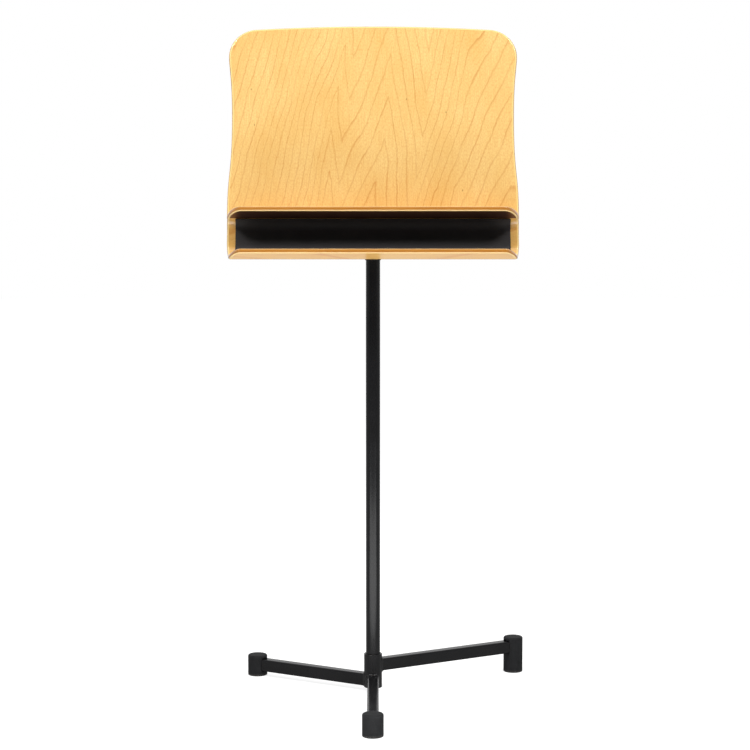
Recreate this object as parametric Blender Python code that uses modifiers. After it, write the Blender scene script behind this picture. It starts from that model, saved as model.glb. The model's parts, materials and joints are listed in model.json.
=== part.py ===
"""Music stand: a plywood desk with a lined storage tray, a telescopic steel post and a three-legged base.

Metres, +Z up, the desk faces -Y. The origin is on the floor, under the middle of the object's box.
The three legs differ in length and one sits above the others, so that stands nest together.
"""

import math

import bmesh
import bpy
from mathutils import Matrix, Vector
from mathutils.geometry import interpolate_bezier

GAP = 0.0003  # left between pieces that touch
RUNNING_GAP = 0.0003  # left around a shaft that turns or slides

# Base: the hub stands on three bars, each ending in a round rubber foot.
HUB_RADIUS = 0.016
HUB_BOTTOM = 0.0075
HUB_TOP = 0.0683
HUB_WEB_BOTTOM = 0.0155
HUB_WEB_TOP = 0.0215
LEG_WIDTH = 0.0195
LEG_HEIGHT = 0.022
LEG_EDGE_RADIUS = 0.003
LOW_LEG_BOTTOM = 0.0091
HIGH_LEG_BOTTOM = 0.0363
LEG_PAST_FOOT_CENTRE = 0.009
FOOT_RADIUS = 0.0177
FOOT_EDGE_RADIUS = 0.003
SHORT_FOOT_HEIGHT = 0.0382
TALL_FOOT_HEIGHT = 0.0654
FOOT_SCREW_RADIUS = 0.0025
FOOT_SCREW_HEAD_RADIUS = 0.0045
FOOT_SCREW_HEAD_HEIGHT = 0.0024
FOOT_SCREW_DEPTH = 0.010  # in the leg
FOOT_WASHER_RADIUS = 0.006
FOOT_WASHER_THICKNESS = 0.001
FOOT_WALL_UNDER_LEG = 0.004
# name: (direction from the hub in degrees, hub axis to foot axis, underside of the bar, foot height)
LEGS = {
    "front": (-90, 0.298, LOW_LEG_BOTTOM, SHORT_FOOT_HEIGHT),
    "left": (150, 0.245, LOW_LEG_BOTTOM, SHORT_FOOT_HEIGHT),
    "right": (30, 0.299, HIGH_LEG_BOTTOM, TALL_FOOT_HEIGHT),
}

# Post: a steel tube that holds a clutch, in which the mast slides and turns.
POST_RADIUS = 0.0125
POST_WALL = 0.0015
POST_BORE = POST_RADIUS - POST_WALL
POST_BOTTOM = HUB_WEB_TOP + GAP
POST_TOP = 0.790
COLLAR_RADIUS = 0.0142
COLLAR_BOTTOM = 0.765
COLLAR_TOP = 0.797
COLLAR_CHAMFER = 0.0012
MAST_RADIUS = 0.0085
MAST_WALL = 0.0015
MAST_BOTTOM = 0.285
MAST_PLUG_FLANGE = 0.012
MAST_PLUG_SPIGOT = 0.020
CLUTCH_BOTTOM = 0.700
CLUTCH_SPLIT = 0.002
BAND_HEIGHT = 0.006
BAND_THICKNESS = 0.0008
BAND_HEIGHTS = (0.716, 0.768)  # underside of each band
PLUG_HEIGHT = 0.028
BASE_BOLT_RADIUS = 0.004
BASE_BOLT_HEAD_RADIUS = 0.0068
BASE_BOLT_HEAD_HEIGHT = 0.0042
BASE_WASHER_RADIUS = 0.010
BASE_WASHER_THICKNESS = 0.0016

# Desk: its own frame has the tilt axis as origin, local +Y to the rear and local +Z up along the board.
LEAN = math.radians(17)
TILT_HEIGHT = 0.9098
PLY = 0.008
FACE_Y = -0.032  # front face of the board
BACK_Y = FACE_Y + PLY
TRAY_Z = -0.1617  # underside of the lower ledge
LEDGE_DEPTH = 0.058
TRAY_HALF_WIDTH = 0.2498
CORNER_POWER = 1.7  # 2 would make the corners of the sheets elliptical
LEDGE_CORNER_WIDTH = 0.0265
LOWER_CORNER_REACH = 0.076  # from the lower ledge's front, along the sheet
UPPER_CORNER_REACH = 0.060
TRAY_BEND = 0.020  # inner radius
TRAY_HEIGHT = 0.0819  # underside of the lower ledge to top of the upper one
EDGE_RADIUS = 0.0034  # rounding of every plywood edge
LINING_THICKNESS = 0.002
LINING_HALF_WIDTH = 0.235
LINING_FRONT_MARGIN = 0.010
LINING_CORNER_WIDTH = 0.020
LINING_CORNER_REACH = 0.035
LINING_BEND_SHARE = 0.82  # how far the lining follows the upper bend

# Board outline: (half width, height above the underside of the lower ledge)
BOARD_BOTTOM = 0.0744
BOARD_HIP = (0.2503, 0.0937)
BOARD_WAIST = (0.2441, 0.2397)
BOARD_SHOULDER = (0.2511, 0.3707)
HIP_HANDLE = 0.066  # lengths of the side curve's handles, which all run up and down
LOWER_WAIST_HANDLE = 0.082
UPPER_WAIST_HANDLE = 0.088
SHOULDER_HANDLE = 0.020
BOARD_CORNER_RADIUS = 0.050
BOARD_CORNER_TURN = math.radians(86.7)  # where the corner meets the crowned top edge
BOARD_TOP = 0.4267
BOARD_FOOT_RADIUS = 0.004

# Tilt joint: two ears on a steel plate hold the head on the mast, clamped by one bolt.
HEAD_HALF_WIDTH = 0.011
HEAD_RADIUS = 0.011
SOCKET_RADIUS = 0.0115
SOCKET_BOTTOM = -0.040
SOCKET_FLOOR = -0.016
PIN_RADIUS = 0.002
PIN_Z = -0.028
FRICTION_WASHER = 0.0015
FRICTION_WASHER_RADIUS = 0.0102
EAR_THICKNESS = 0.003
EAR_RADIUS = 0.012
PLATE_THICKNESS = 0.003
PLATE_HALF_WIDTH = 0.032
PLATE_BOTTOM = -0.125
PLATE_TOP = 0.070
PLATE_EDGE_RADIUS = 0.008
TILT_BOLT_RADIUS = 0.004
TILT_BOLT_HEAD = 0.0053
TILT_BOLT_END = 0.0015  # thread past the nut
TILT_NUT = 0.0065
HEX_RADIUS = 0.0073
WASHER = 0.0015
WASHER_RADIUS = 0.0085
DISC_SPRING = 0.0012
SCREW_RADIUS = 0.002
SCREW_DEPTH = 0.0055  # in the plywood
SCREW_HEAD_RADIUS = 0.004
SCREW_HEAD_HEIGHT = 0.0022
SCREW_HALF_SPACING = 0.022
SCREW_HEIGHTS = {"lower": -0.117, "middle": -0.050, "upper": 0.058}

MATERIALS = {  # colour, roughness, metallic
    "maple": ((0.86, 0.63, 0.30), 0.35, 0.0),
    "lining": ((0.012, 0.011, 0.012), 0.7, 0.0),
    "black_steel": ((0.012, 0.012, 0.014), 0.38, 0.0),
    "rubber": ((0.022, 0.022, 0.024), 0.75, 0.0),
    "nylon": ((0.70, 0.69, 0.64), 0.5, 0.0),
    "zinc_steel": ((0.55, 0.56, 0.58), 0.32, 1.0),
    "fibre": ((0.16, 0.05, 0.03), 0.8, 0.0),
}


def clear_scene():
    for old in list(bpy.data.objects):
        bpy.data.objects.remove(old, do_unlink=True)


def collection(name):
    made = bpy.data.collections.new(name)
    bpy.context.scene.collection.children.link(made)
    return made


def material(name):
    if name in bpy.data.materials:
        return bpy.data.materials[name]
    colour, roughness, metallic = MATERIALS[name]
    made = bpy.data.materials.new(name)
    made.use_nodes = True
    shader = made.node_tree.nodes["Principled BSDF"]
    shader.inputs["Base Color"].default_value = (*colour, 1.0)
    shader.inputs["Roughness"].default_value = roughness
    shader.inputs["Metallic"].default_value = metallic
    made.diffuse_color = (*colour, 1.0)
    return made


def add_object(name, mesh, finish, parent, location=(0, 0, 0), rotation=(0, 0, 0)):
    """A part when it has a finish, and otherwise a cutter."""
    made = bpy.data.objects.new(name, mesh)
    made.parent = parent
    made.location = location
    made.rotation_euler = rotation
    if finish:
        mesh.materials.append(material(finish))
        PARTS.objects.link(made)
    else:
        made.hide_render = True
        made.display_type = "WIRE"
        CUTTERS.objects.link(made)
    return made


def add_empty(name, parent, location, rotation=(0, 0, 0)):
    made = bpy.data.objects.new(name, None)
    made.empty_display_size = 0.03
    made.parent = parent
    made.location = location
    made.rotation_euler = rotation
    PARTS.objects.link(made)
    return made


def mesh_from(name, shape):
    mesh = bpy.data.meshes.new(name)
    shape.to_mesh(mesh)
    shape.free()
    return mesh


def smooth(mesh, sharp_from=35):
    mesh.shade_smooth()
    mesh.set_sharp_from_angle(angle=math.radians(sharp_from))
    return mesh


def turned(name, profile, finish, parent, location=(0, 0, 0), rotation=(0, 0, 0), steps=32, ring=False):
    """A (radius, height) profile, down the outer side and back up the bore of a ring, turned about local Z."""
    mesh = bpy.data.meshes.new(name)
    links = [(i, i + 1) for i in range(len(profile) - 1)]
    if ring:
        links.append((len(profile) - 1, 0))
    mesh.from_pydata([(radius, 0, height) for radius, height in profile], links, [])
    made = add_object(name, mesh, finish, parent, location, rotation)
    screw = made.modifiers.new("turn", "SCREW")
    screw.steps = steps
    screw.render_steps = steps
    screw.use_merge_vertices = True
    screw.merge_threshold = 0.00001
    screw.use_smooth_shade = True
    return made


def disc_profile(radius, bottom, top):
    return [(0, top), (radius, top), (radius, bottom), (0, bottom)]


def ring_profile(bore, radius, bottom, top):
    return [(radius, top), (radius, bottom), (bore, bottom), (bore, top)]


def rounded_disc_profile(radius, bottom, top, edge, steps=2):
    """A disc whose two rims are quarter circles."""
    turns = [math.pi / 2 * i / steps for i in range(steps + 1)]
    upper = [(radius - edge + edge * math.sin(a), top - edge + edge * math.cos(a)) for a in turns]
    lower = [(radius - edge + edge * math.cos(a), bottom + edge - edge * math.sin(a)) for a in turns]
    return [(0, top), *upper, *lower, (0, bottom)]


def cylinder(name, radius, bottom, top, finish, parent, location=(0, 0, 0), rotation=(0, 0, 0), steps=22):
    return turned(name, disc_profile(radius, bottom, top), finish, parent, location, rotation, steps)


def block(name, low, high, finish, parent, location=(0, 0, 0), rotation=(0, 0, 0), edge=0.0, segments=2):
    """A box between two corners, with rounded edges when it has an edge radius."""
    size = Vector(high) - Vector(low)
    shape = bmesh.new()
    bmesh.ops.create_cube(shape, size=1.0)
    bmesh.ops.scale(shape, vec=size, verts=shape.verts)
    bmesh.ops.translate(shape, vec=(Vector(high) + Vector(low)) / 2, verts=shape.verts)
    made = add_object(name, mesh_from(name, shape), finish, parent, location, rotation)
    if edge:
        bevel = made.modifiers.new("edges", "BEVEL")
        bevel.width = edge
        bevel.segments = segments
    return made


def hexagon(name, bottom, top, finish, parent, location, rotation, bore=0.0):
    """A hexagonal head or nut along local Z, with a plain bore in a nut."""
    shape = bmesh.new()
    bmesh.ops.create_cone(
        shape, cap_ends=True, segments=6, radius1=HEX_RADIUS, radius2=HEX_RADIUS, depth=top - bottom
    )
    bmesh.ops.translate(shape, vec=(0, 0, (top + bottom) / 2), verts=shape.verts)
    made = add_object(name, mesh_from(name, shape), finish, parent, location, rotation)
    if bore:
        cut(made, cylinder(name + "_bore", bore, bottom - 0.002, top + 0.002, None, parent, location, rotation))
    return made


def boolean(target, other, operation, solver="EXACT"):
    change = target.modifiers.new(other.name, "BOOLEAN")
    change.operation = operation
    change.solver = solver
    change.object = other


def cut(target, cutter, solver="EXACT"):
    boolean(target, cutter, "DIFFERENCE", solver)


def join(target, other):
    boolean(target, other, "UNION")


def box_centre_offset():
    """Where the post's axis stands in the object's frame, whose origin is under the middle of the box."""
    reach = {
        name: (length * math.cos(math.radians(turn)), length * math.sin(math.radians(turn)))
        for name, (turn, length, _, _) in LEGS.items()
    }
    right = reach["right"][0] + FOOT_RADIUS
    left = -BOARD_SHOULDER[0]
    front = reach["front"][1] - FOOT_RADIUS
    rear = reach["right"][1] + FOOT_RADIUS
    return (-(right + left) / 2, -(front + rear) / 2, 0)


def add_hub(stand):
    bore = POST_RADIUS + GAP
    hole = BASE_BOLT_RADIUS + GAP
    counterbore = BASE_WASHER_RADIUS + GAP
    edge = 0.001
    profile = [
        (bore, HUB_TOP),
        (HUB_RADIUS - edge, HUB_TOP),
        (HUB_RADIUS, HUB_TOP - edge),
        (HUB_RADIUS, HUB_BOTTOM + edge),
        (HUB_RADIUS - edge, HUB_BOTTOM),
        (counterbore, HUB_BOTTOM),
        (counterbore, HUB_WEB_BOTTOM),
        (hole, HUB_WEB_BOTTOM),
        (hole, HUB_WEB_TOP),
        (bore, HUB_WEB_TOP),
    ]
    turned("hub_sleeve", profile, "black_steel", stand, ring=True)


def add_leg(stand, name, turn, length, bottom, foot_height):
    """One bar, its rubber foot, and the screw and washer that hold the foot from below."""
    along = (0, 0, math.radians(turn))  # local X runs out along the leg
    foot_at = Matrix.Rotation(math.radians(turn), 3, "Z") @ Vector((length, 0, 0))
    half = LEG_WIDTH / 2
    end = length + LEG_PAST_FOOT_CENTRE
    top = bottom + LEG_HEIGHT
    leg = block(
        f"leg_{name}", (0, -half, bottom), (end, half, top), "black_steel", stand, rotation=along,
        edge=LEG_EDGE_RADIUS,
    )
    cut(leg, cylinder(f"leg_{name}_root", HUB_RADIUS + GAP, 0, 0.08, None, stand, steps=32))

    foot = turned(
        f"foot_{name}", rounded_disc_profile(FOOT_RADIUS, 0, foot_height, FOOT_EDGE_RADIUS), "rubber", stand,
        foot_at, along,
    )
    pocket = block(
        f"foot_{name}_pocket", (length - 0.03, -half - GAP, bottom - GAP), (end + GAP, half + GAP, top + GAP),
        None, stand, rotation=along, edge=LEG_EDGE_RADIUS,
    )
    cut(foot, pocket)

    seat = bottom - FOOT_WALL_UNDER_LEG
    recess = FOOT_WASHER_RADIUS + GAP
    cut(foot, cylinder(f"foot_{name}_recess", recess, -0.002, seat, None, stand, foot_at))
    hole = FOOT_SCREW_RADIUS + GAP
    tip = bottom + FOOT_SCREW_DEPTH
    drill = cylinder(f"foot_{name}_drill", hole, seat - 0.002, tip + GAP, None, stand, foot_at)
    cut(foot, drill)
    cut(leg, drill)

    washer_top = seat - GAP
    washer_bottom = washer_top - FOOT_WASHER_THICKNESS
    turned(
        f"foot_washer_{name}", ring_profile(hole, FOOT_WASHER_RADIUS, washer_bottom, washer_top), "zinc_steel",
        stand, foot_at, steps=20, ring=True,
    )
    under_head = washer_bottom - GAP
    screw = [
        (0, tip),
        (FOOT_SCREW_RADIUS, tip),
        (FOOT_SCREW_RADIUS, under_head),
        (FOOT_SCREW_HEAD_RADIUS, under_head),
        (FOOT_SCREW_HEAD_RADIUS, under_head - FOOT_SCREW_HEAD_HEIGHT),
        (0, under_head - FOOT_SCREW_HEAD_HEIGHT),
    ]
    turned(f"foot_screw_{name}", screw, "zinc_steel", stand, foot_at, steps=16)


def add_post(stand):
    """The tube, the plug in its foot, the bolt that clamps it in the hub, and the collar on its top."""
    turned(
        "post_tube", ring_profile(POST_BORE, POST_RADIUS, POST_BOTTOM, POST_TOP), "black_steel", stand,
        ring=True,
    )
    plug_bore = BASE_BOLT_RADIUS + GAP
    turned(
        "post_plug", ring_profile(plug_bore, POST_BORE - GAP, POST_BOTTOM, POST_BOTTOM + PLUG_HEIGHT),
        "zinc_steel", stand, steps=20, ring=True,
    )
    washer_top = HUB_WEB_BOTTOM - GAP
    washer_bottom = washer_top - BASE_WASHER_THICKNESS
    turned(
        "base_washer", ring_profile(plug_bore, BASE_WASHER_RADIUS, washer_bottom, washer_top), "zinc_steel",
        stand, steps=20, ring=True,
    )
    under_head = washer_bottom - GAP
    bolt = [
        (0, POST_BOTTOM + PLUG_HEIGHT - 0.002),
        (BASE_BOLT_RADIUS, POST_BOTTOM + PLUG_HEIGHT - 0.002),
        (BASE_BOLT_RADIUS, under_head),
        (BASE_BOLT_HEAD_RADIUS, under_head),
        (BASE_BOLT_HEAD_RADIUS, under_head - BASE_BOLT_HEAD_HEIGHT),
        (0, under_head - BASE_BOLT_HEAD_HEIGHT),
    ]
    turned("base_bolt", bolt, "zinc_steel", stand, steps=16)

    lip = MAST_RADIUS + 2 * RUNNING_GAP
    grip = POST_RADIUS + GAP
    collar = [
        (lip, COLLAR_TOP),
        (COLLAR_RADIUS - COLLAR_CHAMFER, COLLAR_TOP),
        (COLLAR_RADIUS, COLLAR_TOP - COLLAR_CHAMFER),
        (COLLAR_RADIUS, COLLAR_BOTTOM + COLLAR_CHAMFER),
        (COLLAR_RADIUS - COLLAR_CHAMFER / 2, COLLAR_BOTTOM),
        (grip, COLLAR_BOTTOM),
        (grip, POST_TOP + GAP),
        (lip, POST_TOP + GAP),
    ]
    turned("post_collar", collar, "black_steel", stand, ring=True)


def add_clutch(axis):
    """A split nylon sleeve that two spring bands press onto the mast."""
    base = TILT_HEIGHT
    outside = POST_BORE - RUNNING_GAP
    groove = outside - BAND_THICKNESS - GAP
    bore = MAST_RADIUS + RUNNING_GAP
    top = POST_TOP - GAP
    profile = [(outside, top - base)]
    for bottom in reversed(BAND_HEIGHTS):
        upper = bottom + BAND_HEIGHT + GAP - base
        lower = bottom - GAP - base
        profile += [(outside, upper), (groove, upper), (groove, lower), (outside, lower)]
    profile += [(outside, CLUTCH_BOTTOM - base), (bore, CLUTCH_BOTTOM - base), (bore, top - base)]
    sleeve = turned("clutch_sleeve", profile, "nylon", axis, steps=24, ring=True)
    half = CLUTCH_SPLIT / 2
    split = block(
        "clutch_split", (-half, 0, CLUTCH_BOTTOM - base - 0.01), (half, 0.02, top - base + 0.01), None, axis
    )
    cut(sleeve, split)
    for place, bottom in zip(("lower", "upper"), BAND_HEIGHTS):
        band = ring_profile(
            outside - BAND_THICKNESS, outside, bottom - base, bottom + BAND_HEIGHT - base
        )
        turned(f"clutch_band_{place}", band, "zinc_steel", axis, steps=24, ring=True)


def add_mast(axis):
    """The sliding tube, its guide plug, the tilt head on its top, and the pin that holds the head."""
    base = TILT_HEIGHT
    top = SOCKET_FLOOR - GAP
    bore = MAST_RADIUS - MAST_WALL
    mast = turned(
        "mast_tube", ring_profile(bore, MAST_RADIUS, MAST_BOTTOM - base, top), "black_steel", axis,
        steps=24, ring=True,
    )
    foot = MAST_BOTTOM - base - GAP
    flange = POST_BORE - RUNNING_GAP
    plug = [
        (0, foot + MAST_PLUG_SPIGOT),
        (bore - GAP, foot + MAST_PLUG_SPIGOT),
        (bore - GAP, foot),
        (flange, foot),
        (flange, foot - MAST_PLUG_FLANGE),
        (0, foot - MAST_PLUG_FLANGE),
    ]
    turned("mast_guide_plug", plug, "nylon", axis, steps=24)

    across = (0, math.pi / 2, 0)  # local Z runs along X
    head = cylinder(
        "tilt_head", HEAD_RADIUS, -HEAD_HALF_WIDTH, HEAD_HALF_WIDTH, "black_steel", axis, rotation=across,
        steps=28,
    )
    neck = block(
        "head_neck", (-HEAD_HALF_WIDTH, -HEAD_RADIUS, -0.02), (HEAD_HALF_WIDTH, HEAD_RADIUS, 0), None, axis
    )
    socket = cylinder(
        "head_socket", SOCKET_RADIUS, SOCKET_BOTTOM, SOCKET_FLOOR + 0.003, None, axis, steps=28
    )
    join(head, neck)
    join(head, socket)
    cut(head, cylinder("head_bore", MAST_RADIUS + GAP, SOCKET_BOTTOM - 0.01, SOCKET_FLOOR, None, axis))
    cut(head, cylinder("head_axle", TILT_BOLT_RADIUS + RUNNING_GAP, -0.03, 0.03, None, axis, rotation=across))

    rearward = (math.pi / 2, 0, 0)  # local Z runs along -Y
    pin_at = (0, 0, PIN_Z)
    pin_hole = cylinder("pin_hole", PIN_RADIUS + GAP, -0.02, 0.02, None, axis, pin_at, rearward, steps=18)
    cut(head, pin_hole)
    cut(mast, pin_hole)
    half = SOCKET_RADIUS - 0.0004
    cylinder("mast_cross_pin", PIN_RADIUS, -half, half, "zinc_steel", axis, pin_at, rearward, steps=16)


def add_bracket(desk):
    """The steel plate on the desk's back, with its two ears, and the six screws."""
    near = BACK_Y + GAP
    far = near + PLATE_THICKNESS
    plate = block(
        "desk_bracket", (-PLATE_HALF_WIDTH, near, PLATE_BOTTOM), (PLATE_HALF_WIDTH, far, PLATE_TOP),
        "black_steel", desk,
    )
    rounding = plate.modifiers.new("corners", "BEVEL")
    rounding.width = PLATE_EDGE_RADIUS
    rounding.segments = 4
    rounding.limit_method = "WEIGHT"
    weights = plate.data.attributes.new("bevel_weight_edge", "FLOAT", "EDGE")
    for edge in plate.data.edges:
        start, end = (plate.data.vertices[i].co for i in edge.vertices)
        weights.data[edge.index].value = float(abs(start.y - end.y) > PLATE_THICKNESS / 2)

    inner = HEAD_HALF_WIDTH + 2 * GAP + FRICTION_WASHER
    across = (0, math.pi / 2, 0)
    for side, sign in (("left", -1), ("right", 1)):
        near_x, far_x = sorted((sign * inner, sign * (inner + EAR_THICKNESS)))
        ear = cylinder(f"ear_{side}", EAR_RADIUS, near_x, far_x, None, desk, rotation=across, steps=28)
        inset = GAP / 2
        web = block(
            f"ear_web_{side}", (near_x + inset, far - PLATE_THICKNESS / 2, -EAR_RADIUS - 0.004),
            (far_x - inset, 0, EAR_RADIUS - 0.003), None, desk,
        )
        join(ear, web)
        join(plate, ear)
    cut(plate, cylinder("ear_bore", TILT_BOLT_RADIUS + GAP, -0.03, 0.03, None, desk, rotation=across))

    forward = (math.pi / 2, 0, 0)  # local Z runs along -Y, into the plywood
    reach = PLATE_THICKNESS + GAP + SCREW_DEPTH
    for place, height in SCREW_HEIGHTS.items():
        for side, sign in (("left", -1), ("right", 1)):
            spot = (sign * SCREW_HALF_SPACING, far, height)
            name = f"desk_screw_{place}_{side}"
            hole = cylinder(
                name + "_hole", SCREW_RADIUS + GAP, -0.002, reach + GAP, None, desk, spot, forward, steps=16
            )
            cut(plate, hole)
            PLY_HOLES.append((place, hole))
            edge = SCREW_HEAD_HEIGHT / 2
            profile = [
                (0, reach),
                (SCREW_RADIUS * 0.5, reach),
                (SCREW_RADIUS, reach - 0.0015),
                (SCREW_RADIUS, -GAP),
                (SCREW_HEAD_RADIUS, -GAP),
                (SCREW_HEAD_RADIUS, -GAP - edge),
                (SCREW_HEAD_RADIUS - edge, -GAP - SCREW_HEAD_HEIGHT),
                (0, -GAP - SCREW_HEAD_HEIGHT),
            ]
            turned(name, profile, "zinc_steel", desk, spot, forward, steps=16)


def add_tilt_bolt(desk):
    """The bolt through the ears, with its nut, washers and disc spring, and the two friction washers."""
    across = (0, math.pi / 2, 0)
    hole = TILT_BOLT_RADIUS + GAP
    friction_from = HEAD_HALF_WIDTH + GAP
    ear_to = friction_from + FRICTION_WASHER + GAP + EAR_THICKNESS
    washer_from = ear_to + GAP
    washer_to = washer_from + WASHER
    for side, sign in (("left", -1), ("right", 1)):
        low, high = sorted((sign * friction_from, sign * (friction_from + FRICTION_WASHER)))
        turned(
            f"friction_washer_{side}", ring_profile(hole, FRICTION_WASHER_RADIUS, low, high), "fibre", desk,
            rotation=across, steps=20, ring=True,
        )
        low, high = sorted((sign * washer_from, sign * washer_to))
        turned(
            f"tilt_washer_{side}", ring_profile(hole, WASHER_RADIUS, low, high), "zinc_steel", desk,
            rotation=across, steps=20, ring=True,
        )
    spring_from = washer_to + GAP
    spring_to = spring_from + DISC_SPRING
    turned(
        "disc_spring", ring_profile(hole, WASHER_RADIUS - 0.001, -spring_to, -spring_from), "zinc_steel", desk,
        rotation=across, steps=20, ring=True,
    )
    nut_from = spring_to + GAP
    nut_to = nut_from + TILT_NUT
    hexagon("tilt_nut", -nut_to, -nut_from, "zinc_steel", desk, (0, 0, 0), across, hole)
    head_from = washer_to + GAP
    bolt = hexagon(
        "tilt_bolt", head_from, head_from + TILT_BOLT_HEAD, "zinc_steel", desk, (0, 0, 0), across
    )
    shank = cylinder(
        "tilt_shank", TILT_BOLT_RADIUS, -nut_to - TILT_BOLT_END, head_from + 0.001, None, desk,
        rotation=across,
    )
    join(bolt, shank)


def board_outline():
    """The right half of the board's outline from its foot to the middle of its top, as (x, local z) points."""
    def knot(place):
        return Vector((place[0], place[1] + TRAY_Z, 0))

    def up(length):
        return Vector((0, length, 0))

    bottom = BOARD_BOTTOM + TRAY_Z
    hip = knot(BOARD_HIP)
    waist = knot(BOARD_WAIST)
    shoulder = knot(BOARD_SHOULDER)
    centre = shoulder - Vector((BOARD_CORNER_RADIUS, 0, 0))
    points = [(hip.x - BOARD_FOOT_RADIUS, bottom), (hip.x, bottom + BOARD_FOOT_RADIUS)]
    lower_side = interpolate_bezier(hip, hip + up(HIP_HANDLE), waist - up(LOWER_WAIST_HANDLE), waist, 9)
    upper_side = interpolate_bezier(
        waist, waist + up(UPPER_WAIST_HANDLE), shoulder - up(SHOULDER_HANDLE), shoulder, 9
    )
    points += [(point.x, point.y) for point in lower_side + upper_side[1:]]
    for step in range(1, 9):
        turn = BOARD_CORNER_TURN * step / 8
        points.append((
            centre.x + BOARD_CORNER_RADIUS * math.cos(turn),
            centre.y + BOARD_CORNER_RADIUS * math.sin(turn),
        ))
    start_x, start_z = points[-1]
    crown = BOARD_TOP + TRAY_Z - start_z
    for step in range(1, 7):
        share = step / 6
        points.append((start_x * (1 - share), start_z + crown * (1 - (1 - share) ** 2)))
    return points


def add_board(desk):
    right = board_outline()
    left = [(-x, z) for x, z in reversed(right[:-1])]
    curve = bpy.data.curves.new("desk_board", "CURVE")
    curve.dimensions = "2D"
    curve.fill_mode = "BOTH"
    curve.extrude = PLY / 2 - EDGE_RADIUS
    curve.bevel_depth = EDGE_RADIUS
    curve.bevel_resolution = 1
    curve.offset = -EDGE_RADIUS
    outline = right + left
    spline = curve.splines.new("POLY")
    spline.points.add(len(outline) - 1)
    for point, (x, z) in zip(spline.points, outline):
        point.co = (x, z, 0, 1)
    spline.use_cyclic_u = True
    guide = bpy.data.objects.new("board_outline", curve)
    CUTTERS.objects.link(guide)
    bpy.context.view_layer.update()
    mesh = bpy.data.meshes.new_from_object(guide.evaluated_get(bpy.context.evaluated_depsgraph_get()))
    bpy.data.objects.remove(guide)
    shape = bmesh.new()
    shape.from_mesh(mesh)
    bmesh.ops.remove_doubles(shape, verts=shape.verts, dist=0.00001)
    bmesh.ops.recalc_face_normals(shape, faces=shape.faces)
    standing = (math.pi / 2, 0, 0)  # local Y of the outline runs up the board
    board = add_object(
        "desk_board", smooth(mesh_from("desk_board", shape)), "maple", desk, (0, FACE_Y + PLY / 2, 0), standing
    )
    for place, hole in PLY_HOLES:
        if place != "lower":
            cut(board, hole)


def bent_path(inset, top_share=1.0, front_inset=0.0):
    """Points of a sheet that follows the tray's inside from the lower ledge's front to the upper ledge's.

    Each point is (forward of the board's face, above the underside of the lower ledge).
    """
    bend = TRAY_BEND - inset
    floor = PLY + inset
    ceiling = TRAY_HEIGHT - PLY - inset
    front = LEDGE_DEPTH - front_inset
    flat = [front - (front - TRAY_BEND) * (step / 6) ** 1.5 for step in range(6)]
    turns = [math.pi / 2 * step / 6 for step in range(7)]
    path = [(forward, floor) for forward in flat]
    path += [(TRAY_BEND - bend * math.sin(turn), floor + bend - bend * math.cos(turn)) for turn in turns]
    turns = [turn * top_share for turn in turns]
    path += [(TRAY_BEND - bend * math.cos(turn), ceiling - bend + bend * math.sin(turn)) for turn in turns]
    if top_share == 1.0:
        path += [(forward, ceiling) for forward in reversed(flat)]
    return path


def corner_inset(width, reach, back):
    """How far a round corner takes in a sheet's side, at a distance back from the sheet's front."""
    if back >= reach:
        return 0.0
    return width * (1 - (1 - (1 - back / reach) ** CORNER_POWER) ** (1 / CORNER_POWER))


def bent_sheet(name, path, half_width, corner_width, corner_reaches, thickness, edge, finish, desk):
    """A sheet laid along the path, with round corners at its lower and upper front, thickened outwards."""
    travelled = [0.0]
    for before, after in zip(path, path[1:]):
        travelled.append(travelled[-1] + math.dist(before, after))
    lower_reach, upper_reach = corner_reaches
    shape = bmesh.new()
    bmesh.ops.create_grid(shape, x_segments=1, y_segments=len(path) - 1, size=1.0)
    for vert in shape.verts:
        row = round((vert.co.y + 1) / 2 * (len(path) - 1))
        forward, height = path[row]
        taken_in = corner_inset(corner_width, lower_reach, travelled[row])
        taken_in += corner_inset(corner_width, upper_reach, travelled[-1] - travelled[row])
        vert.co = ((half_width - taken_in) * math.copysign(1, vert.co.x), FACE_Y - forward, height + TRAY_Z)
    bmesh.ops.recalc_face_normals(shape, faces=shape.faces)
    made = add_object(name, smooth(mesh_from(name, shape)), finish, desk)
    thicken = made.modifiers.new("thickness", "SOLIDIFY")
    thicken.thickness = thickness
    thicken.offset = -1 if made.data.polygons[0].normal.z > 0 else 1
    thicken.use_even_offset = True
    if edge:
        rounding = made.modifiers.new("edges", "BEVEL")
        rounding.width = edge
        rounding.segments = 2
        rounding.limit_method = "ANGLE"
        rounding.angle_limit = math.radians(50)
    return made


def add_tray(desk):
    """The C-shaped plywood tray below the board, and the black sheet that lines it."""
    tray = bent_sheet(
        "storage_tray", bent_path(0), TRAY_HALF_WIDTH, LEDGE_CORNER_WIDTH,
        (LOWER_CORNER_REACH, UPPER_CORNER_REACH), PLY, EDGE_RADIUS, "maple", desk,
    )
    for place, hole in PLY_HOLES:
        if place == "lower":
            cut(tray, hole, "MANIFOLD")
    bent_sheet(
        "tray_lining", bent_path(GAP + LINING_THICKNESS, LINING_BEND_SHARE, LINING_FRONT_MARGIN),
        LINING_HALF_WIDTH, LINING_CORNER_WIDTH, (LINING_CORNER_REACH, 0), LINING_THICKNESS, 0, "lining", desk,
    )


clear_scene()
PARTS = collection("music_stand")
CUTTERS = collection("cutters")
PLY_HOLES = []

stand_axis = add_empty("stand_axis", None, box_centre_offset())
swivel_axis = add_empty("desk_swivel_axis", stand_axis, (0, 0, TILT_HEIGHT))
slide_axis = add_empty("height_slide_axis", swivel_axis, (0, 0, 0))
tilt_axis = add_empty("desk_tilt_axis", slide_axis, (0, 0, 0), (-LEAN, 0, 0))

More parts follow.
